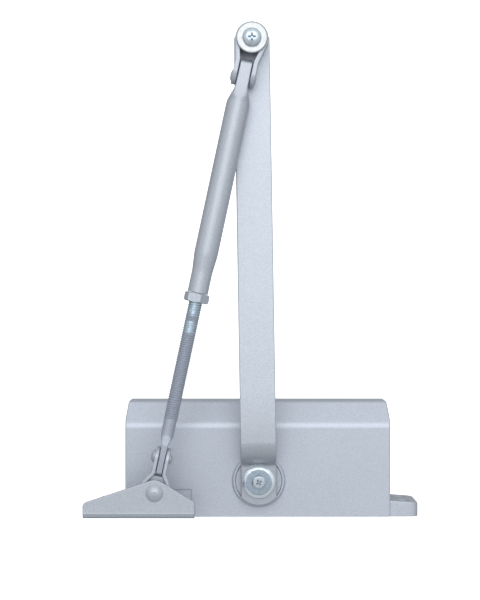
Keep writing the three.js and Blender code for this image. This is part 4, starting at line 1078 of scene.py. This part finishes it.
def thread(solid, start, end, sides=40):
    """A helical thread along +X between two places, which ends in rings of the root's radius."""
    corners = [(0.0, THREAD_ROOT), (0.2, THREAD_ROOT), (0.55, THREAD_CREST), (0.65, THREAD_CREST)]
    turns = math.ceil((end - start) / THREAD_PITCH) + 3
    rows = []
    for row in range(turns * len(corners)):
        offset, radius = corners[row % len(corners)]
        base = start + THREAD_PITCH * (row // len(corners) - 2 + offset)
        line = []
        for i in range(sides + 1):
            angle = 2 * math.pi * i / sides
            x = base + THREAD_PITCH * i / sides
            r = radius if start < x < end else THREAD_ROOT
            corner = (min(end, max(start, x)), r * math.cos(angle), r * math.sin(angle))
            line.append(solid.verts.new(corner))
        rows.append(line)
    for first, second in zip(rows, rows[1:]):
        for i in range(sides):
            solid.faces.new((first[i], first[i + 1], second[i + 1], second[i]))


def threaded_rod():
    """The rod: a rolled thread, a plain shank and an end forged flat for the shoe yoke's rivet."""
    sides = 40
    steps = 12
    flat_start = SHANK_END - 2
    flat_full = SHANK_END + 4
    tail = [
        oval(THREAD_END, THREAD_ROOT, THREAD_ROOT, sides=sides),
        oval(THREAD_END + 0.15, SHANK_RADIUS, SHANK_RADIUS, sides=sides),
    ]
    for i in range(steps + 1):
        x = flat_start + (flat_full - flat_start) * i / steps
        t = smooth(x, flat_start, flat_full)
        half = between(SHANK_RADIUS, ROD_FLAT_HALF, t)
        high_half = between(SHANK_RADIUS, ROD_FLAT_HIGH, t)
        tail.append(oval(x, half, high_half, between(2.0, ROD_FLAT_SQUARE, t), sides))
    tip = flat_end(-ROD_END, 1.3, ROD_FLAT_HALF, ROD_FLAT_HIGH, 3.6, ROD_FLAT_SQUARE, sides)
    tail += [[(-x, y, z) for x, y, z in section] for section in reversed(tip)]
    nose = [
        [(ROD_START, 0, 0)],
        oval(ROD_START, THREAD_ROOT - 0.5, THREAD_ROOT - 0.5, sides=sides),
        oval(ROD_START + 0.6, THREAD_ROOT, THREAD_ROOT, sides=sides),
    ]
    solid = bmesh.new()
    thread(solid, ROD_START + 0.6, THREAD_END, sides)
    for sections in (nose, tail):
        rings = [[solid.verts.new(point) for point in section] for section in sections]
        for first, second in zip(rings, rings[1:]):
            join_rings(solid, first, second)
    bmesh.ops.remove_doubles(solid, verts=solid.verts, dist=1e-4)
    bmesh.ops.dissolve_degenerate(solid, edges=solid.edges, dist=1e-4)
    place = FOREARM @ shift(0, 0, FOREARM_Z)
    rod = make("threaded_rod_piece", solid, place, 35)
    rivet_out = FOREARM_LENGTH - SHOE_RIVET_BACK
    cut(rod, rod_tool(SHOE_RIVET_HOLE + 0.1, -8, 8, place @ shift(rivet_out, 0, 0) @ TO_Y, 32))
    dress(rod, "rod", "dark_steel", "threaded_rod", ROD_FINISH)


# ---- Shoe ----

SHOE_LOOP = 8.8
SHOE_STRAP = 2.0
SHOE_EAR = 3.9
SHOE_EAR_START = 10.0
SHOE_EAR_TIP = 24.2
SHOE_THICKNESS = 3.0
BEND_LINE_HALF = 0.35
BEND_LINE_RISE = 0.14
WEB_END = 9.1
WEB_DROP = 2.4
SHOE_BEND = 2.8
SHOE_APEX = 6.9
SHOE_LEFT_SLOPE = 18.3
SHOE_RIGHT_SLOPE = 31.9
SHOE_PIN_HOLE = 4.3
SHOE_SCREW_HOLE = 2.4
SHOE_SCREWS = [(-29.0, 44.0), (-11.0, 37.0), (13.0, 44.0)]


def shoe_joint():
    """The yoke on the shoe's pin, with a web that closes the space behind the rod's end."""
    route = strap_route(SHOE_LOOP, SHOE_STRAP, SHOE_EAR, SHOE_EAR_START, SHOE_EAR_TIP, 3.0)
    rivet_in = SHOE_EAR_TIP - SHOE_RIVET_BACK
    sizes = {"radius": 2.0, "head": 3.55, "rise": 2.1, "tail": 2.6, "tail_rise": 1.5}
    fit = (SHOE_STRAP, SHOE_EAR, rivet_in, SHOE_RIVET_HOLE, SHOE_YOKE, math.pi)
    riveted_yoke("shoe", route, *fit, sizes, SHOE_SHADED_PAINT)
    bottom = low("shoe_yoke").z
    top = high("shoe_yoke").z
    reach = SHOE_STRAP / 2 + 0.04
    steps = 160
    places = [route.at(route.length * i / steps) for i in range(steps + 1)]
    inside = [point + normal * reach for point, normal in places]
    web = [tuple(point) for point in inside if point.x < WEB_END]
    filler = make("shoe_bush_piece", prism(web, bottom + 0.4, top - WEB_DROP), SHOE_YOKE)
    cut(filler, rod_tool(4.2, bottom - 1, top + 1, SHOE_YOKE))
    dress(filler, "shoe_yoke", "arm_paint", "shoe_bush", SHOE_SHADED_PAINT)


def raise_line(solid, place, half):
    """Raises the slight ridge that pressing leaves on a plate's outer face, along its bend line."""
    for offset in (-BEND_LINE_HALF, 0, BEND_LINE_HALF):
        slice_at(solid, place + offset)
    for vertex in solid.verts:
        if abs(vertex.co.x - place) < 1e-4 and vertex.co.z > half - 1e-3:
            vertex.co.z += BEND_LINE_RISE


def slope_end(out, slope):
    """How far in front of the pin a slope of the shoe has come down to at its outer end."""
    angle = math.radians(slope)
    return SHOE_APEX * math.cos(angle) - (out - SHOE_APEX * math.sin(angle)) * math.tan(angle)


def shoe_bracket():
    """The angle bracket: a low triangle over the yoke and a flange that is screwed to the frame."""
    pin_axis = Vector((SHOE_PIN.x, SHOE_PIN.y, 0))
    left, face, bottom = low("shoe_bracket") - pin_axis
    right, _, top = high("shoe_bracket") - pin_axis
    half = SHOE_THICKNESS / 2
    bend_radius = SHOE_BEND - half
    upright = top - half - bend_radius - bottom
    flat = SHOE_APEX - (face + half + bend_radius)
    route = Route((face + half, bottom), 90, [(upright,), (bend_radius, -90), (flat,)])
    apex = route.length - SHOE_APEX
    right_corner = slope_end(right, SHOE_RIGHT_SLOPE)
    left_corner = slope_end(-left, SHOE_LEFT_SLOPE)
    crown = arc((0, 0), SHOE_APEX, 90 - SHOE_RIGHT_SLOPE, 90 + SHOE_LEFT_SLOPE, 16)
    flange = [(left, 0), (left, -apex, 4.0), (right, -apex, 4.0), (right, right_corner, 1.4), crown[0]]
    left_end = [crown[-1], (left, left_corner, 2.6), (left, -apex)]
    edge = line_of(flange, 8)[1:-1] + crown + line_of(left_end, 8)[1:-1]
    outline = [(y + apex, x) for x, y in edge]
    screws = [(z - bottom, x, SHOE_SCREW_HOLE) for x, z in SHOE_SCREWS]
    holes = [(apex, 0, SHOE_PIN_HOLE), *screws]
    blank = plate(outline, holes, SHOE_THICKNESS, 0.45)
    raise_line(blank, route.length - flat, half)
    piece("shoe_bracket", bend(blank, route), SHOE @ TO_X, "shoe", "arm_paint", SHOE_SHADED_PAINT)


def shoe_pin():
    """The pin: a low dome with a small raised ring on top, and a collar under the yoke."""
    bottom = low("shoe_pin").z
    seat = high("shoe_bracket").z
    yoke_bottom = low("shoe_yoke").z
    radius = 4.0
    dome = 4.7
    rise = high("shoe_pin").z - seat - 0.1
    top = seat + rise
    shares = [1 - i / 14 for i in range(11)]
    crown = [(dome * share, seat + rise * (1 - share**2.4)) for share in shares]
    profile = [
        (0, bottom), (5.4, bottom, 0.2), (6.0, bottom + 0.5, 0.2), (6.0, yoke_bottom - 0.1),
        (radius, yoke_bottom - 0.1), (radius, seat - 0.02), (dome, seat - 0.02), *crown,
        (0.95, top + 0.1, 0.1), (0.55, top + 0.1, 0.1), (0.35, top - 0.15), (0, top - 0.15),
    ]
    piece("shoe_pin", turned(profile, 64), SHOE, "shoe", "arm_paint", SHOE_SHADED_PAINT, 40)


# ---- Inside the body ----

SPRING_WIRE = 1.7
SPRING_RADIUS = 12.5
SPRING_TURNS = 6

def main_spring():
    """The closing spring, a wire wound about +X between the left plug and the piston."""
    wire = SPRING_WIRE
    radius = SPRING_RADIUS
    start = low("main_spring").x + wire
    length = high("main_spring").x - wire - start
    steps = SPRING_TURNS * 32
    sweep = 2 * math.pi * SPRING_TURNS
    sections = []
    for i in range(steps + 1):
        t = i / steps
        angle = sweep * t
        outward = Vector((0, math.cos(angle), math.sin(angle)))
        centre = Vector((start + length * t, BORE_Y, 0)) + outward * radius
        round_axis = outward.cross(Vector((-1, 0, 0)))
        ahead = Vector((length, 0, 0)) + round_axis * (sweep * radius)
        across = ahead.normalized().cross(outward)
        ring = [centre + (outward * math.cos(a) + across * math.sin(a)) * wire for a in turn_angles(12)]
        sections.append(ring)
    spring = piece("main_spring", loft(sections), BODY, "housing", "spring_steel")
    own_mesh(spring)


KEPT = {
    "dark_steel": ["upper_bearing", "lower_bearing", "piston", "check_ball", "pinion_shaft"],
    "rubber": [
        "upper_seal", "lower_seal", "left_plug_ring", "right_plug_ring",
        "sweep_valve_ring", "latch_valve_ring", "backcheck_valve_ring",
    ],
    "spring_steel": ["ball_retainer"],
}


def kept_nodes():
    """The CAD nodes that stay as they are, inside the body, with better finishes."""
    for slot, names in KEPT.items():
        for name in names:
            node = frame["nodes"][name]
            if not node.material_slots:
                node.data.materials.append(None)
            for material_slot in node.material_slots:
                material_slot.material = MATERIALS[slot]


# ---- Stage, light and camera ----

# These are in metres.
FLOOR_Z = -0.16
FLOOR_HALF = 6.0
SOFTBOX_PLACE = (0.0, 0.62, 1.55)
SOFTBOX_TARGET = (0.0, 0.2, 0.0)
SOFTBOX_SIZE = (1.6, 1.1)
SOFTBOX_BRIGHTNESS = 1.42
CAMERA_PLACE = (-0.0102, 0.1186, 1.046)
CAMERA_LENS = 112.6
# Each fall-off of the tent: (part of the direction, from, to, brightness at from, brightness at to).
TENT = [
    ("Y", -0.75, 0.35, 0.62, 1.0),
    ("Z", -0.5, 0.3, 0.45, 1.0),
    ("Z", 0.8, 1.0, 1.0, 0.72),
    ("X", 0.5, 1.0, 1.0, 0.8),
]


def floor():
    solid = bmesh.new()
    bmesh.ops.create_grid(solid, x_segments=1, y_segments=1, size=FLOOR_HALF / MM)
    ground = make("floor", solid, shift(0, 0, FLOOR_Z / MM))
    nodes = surface("floor_white")
    nodes.set({"Base Color": (0.93, 0.93, 0.93), "Roughness": 0.9})
    nodes.set({"Emission Color": (1.0, 1.0, 1.0), "Emission Strength": 0.7})
    ground.data.materials.append(nodes.owner)
    ground.visible_glossy = False
    ground.visible_diffuse = False


def softbox():
    """An area light that looks at its target. Its brightness is that of its face."""
    data = bpy.data.lights.new("overhead", "AREA")
    data.shape = "RECTANGLE"
    data.size, data.size_y = SOFTBOX_SIZE
    data.energy = SOFTBOX_BRIGHTNESS * data.size * data.size_y * math.pi
    lamp = linked("overhead", data, SOFTBOX_PLACE)
    direction = Vector(SOFTBOX_TARGET) - Vector(SOFTBOX_PLACE)
    lamp.rotation_euler = direction.to_track_quat("-Z", "Y").to_euler()


def tent():
    """A bright tent all round, darker overhead, low down, at its ends and on the door side."""
    world = bpy.data.worlds.new("tent")
    nodes = Nodes(world, "Background")
    parts = nodes.add("ShaderNodeSeparateXYZ", {0: nodes.coordinates["Generated"]}).outputs
    level = 1.0
    for part, *limits in TENT:
        value = nodes.maths("ABSOLUTE" if part == "X" else "ADD", parts[part])
        level = nodes.maths("MULTIPLY", level, nodes.spread(value, *limits, "SMOOTHSTEP"))
    nodes.set({"Color": (0.97, 0.985, 1.0), "Strength": level})
    bpy.context.scene.world = world


def camera():
    data = bpy.data.cameras.new("camera")
    data.lens = CAMERA_LENS
    bpy.context.scene.camera = linked("camera", data, CAMERA_PLACE)
    bpy.context.scene.view_settings.view_transform = "Standard"


# ---- The whole scene ----

body_casting()
end_plugs()
regulating_valves()
retainers()
spindle_cap()
main_arm()
arm_screw_and_washer()
knee_fastener()
knee_joint()
forearm_tube()
lock_nut()
threaded_rod()
shoe_joint()
shoe_bracket()
shoe_pin()
main_spring()
kept_nodes()
floor()
tent()
softbox()
camera()
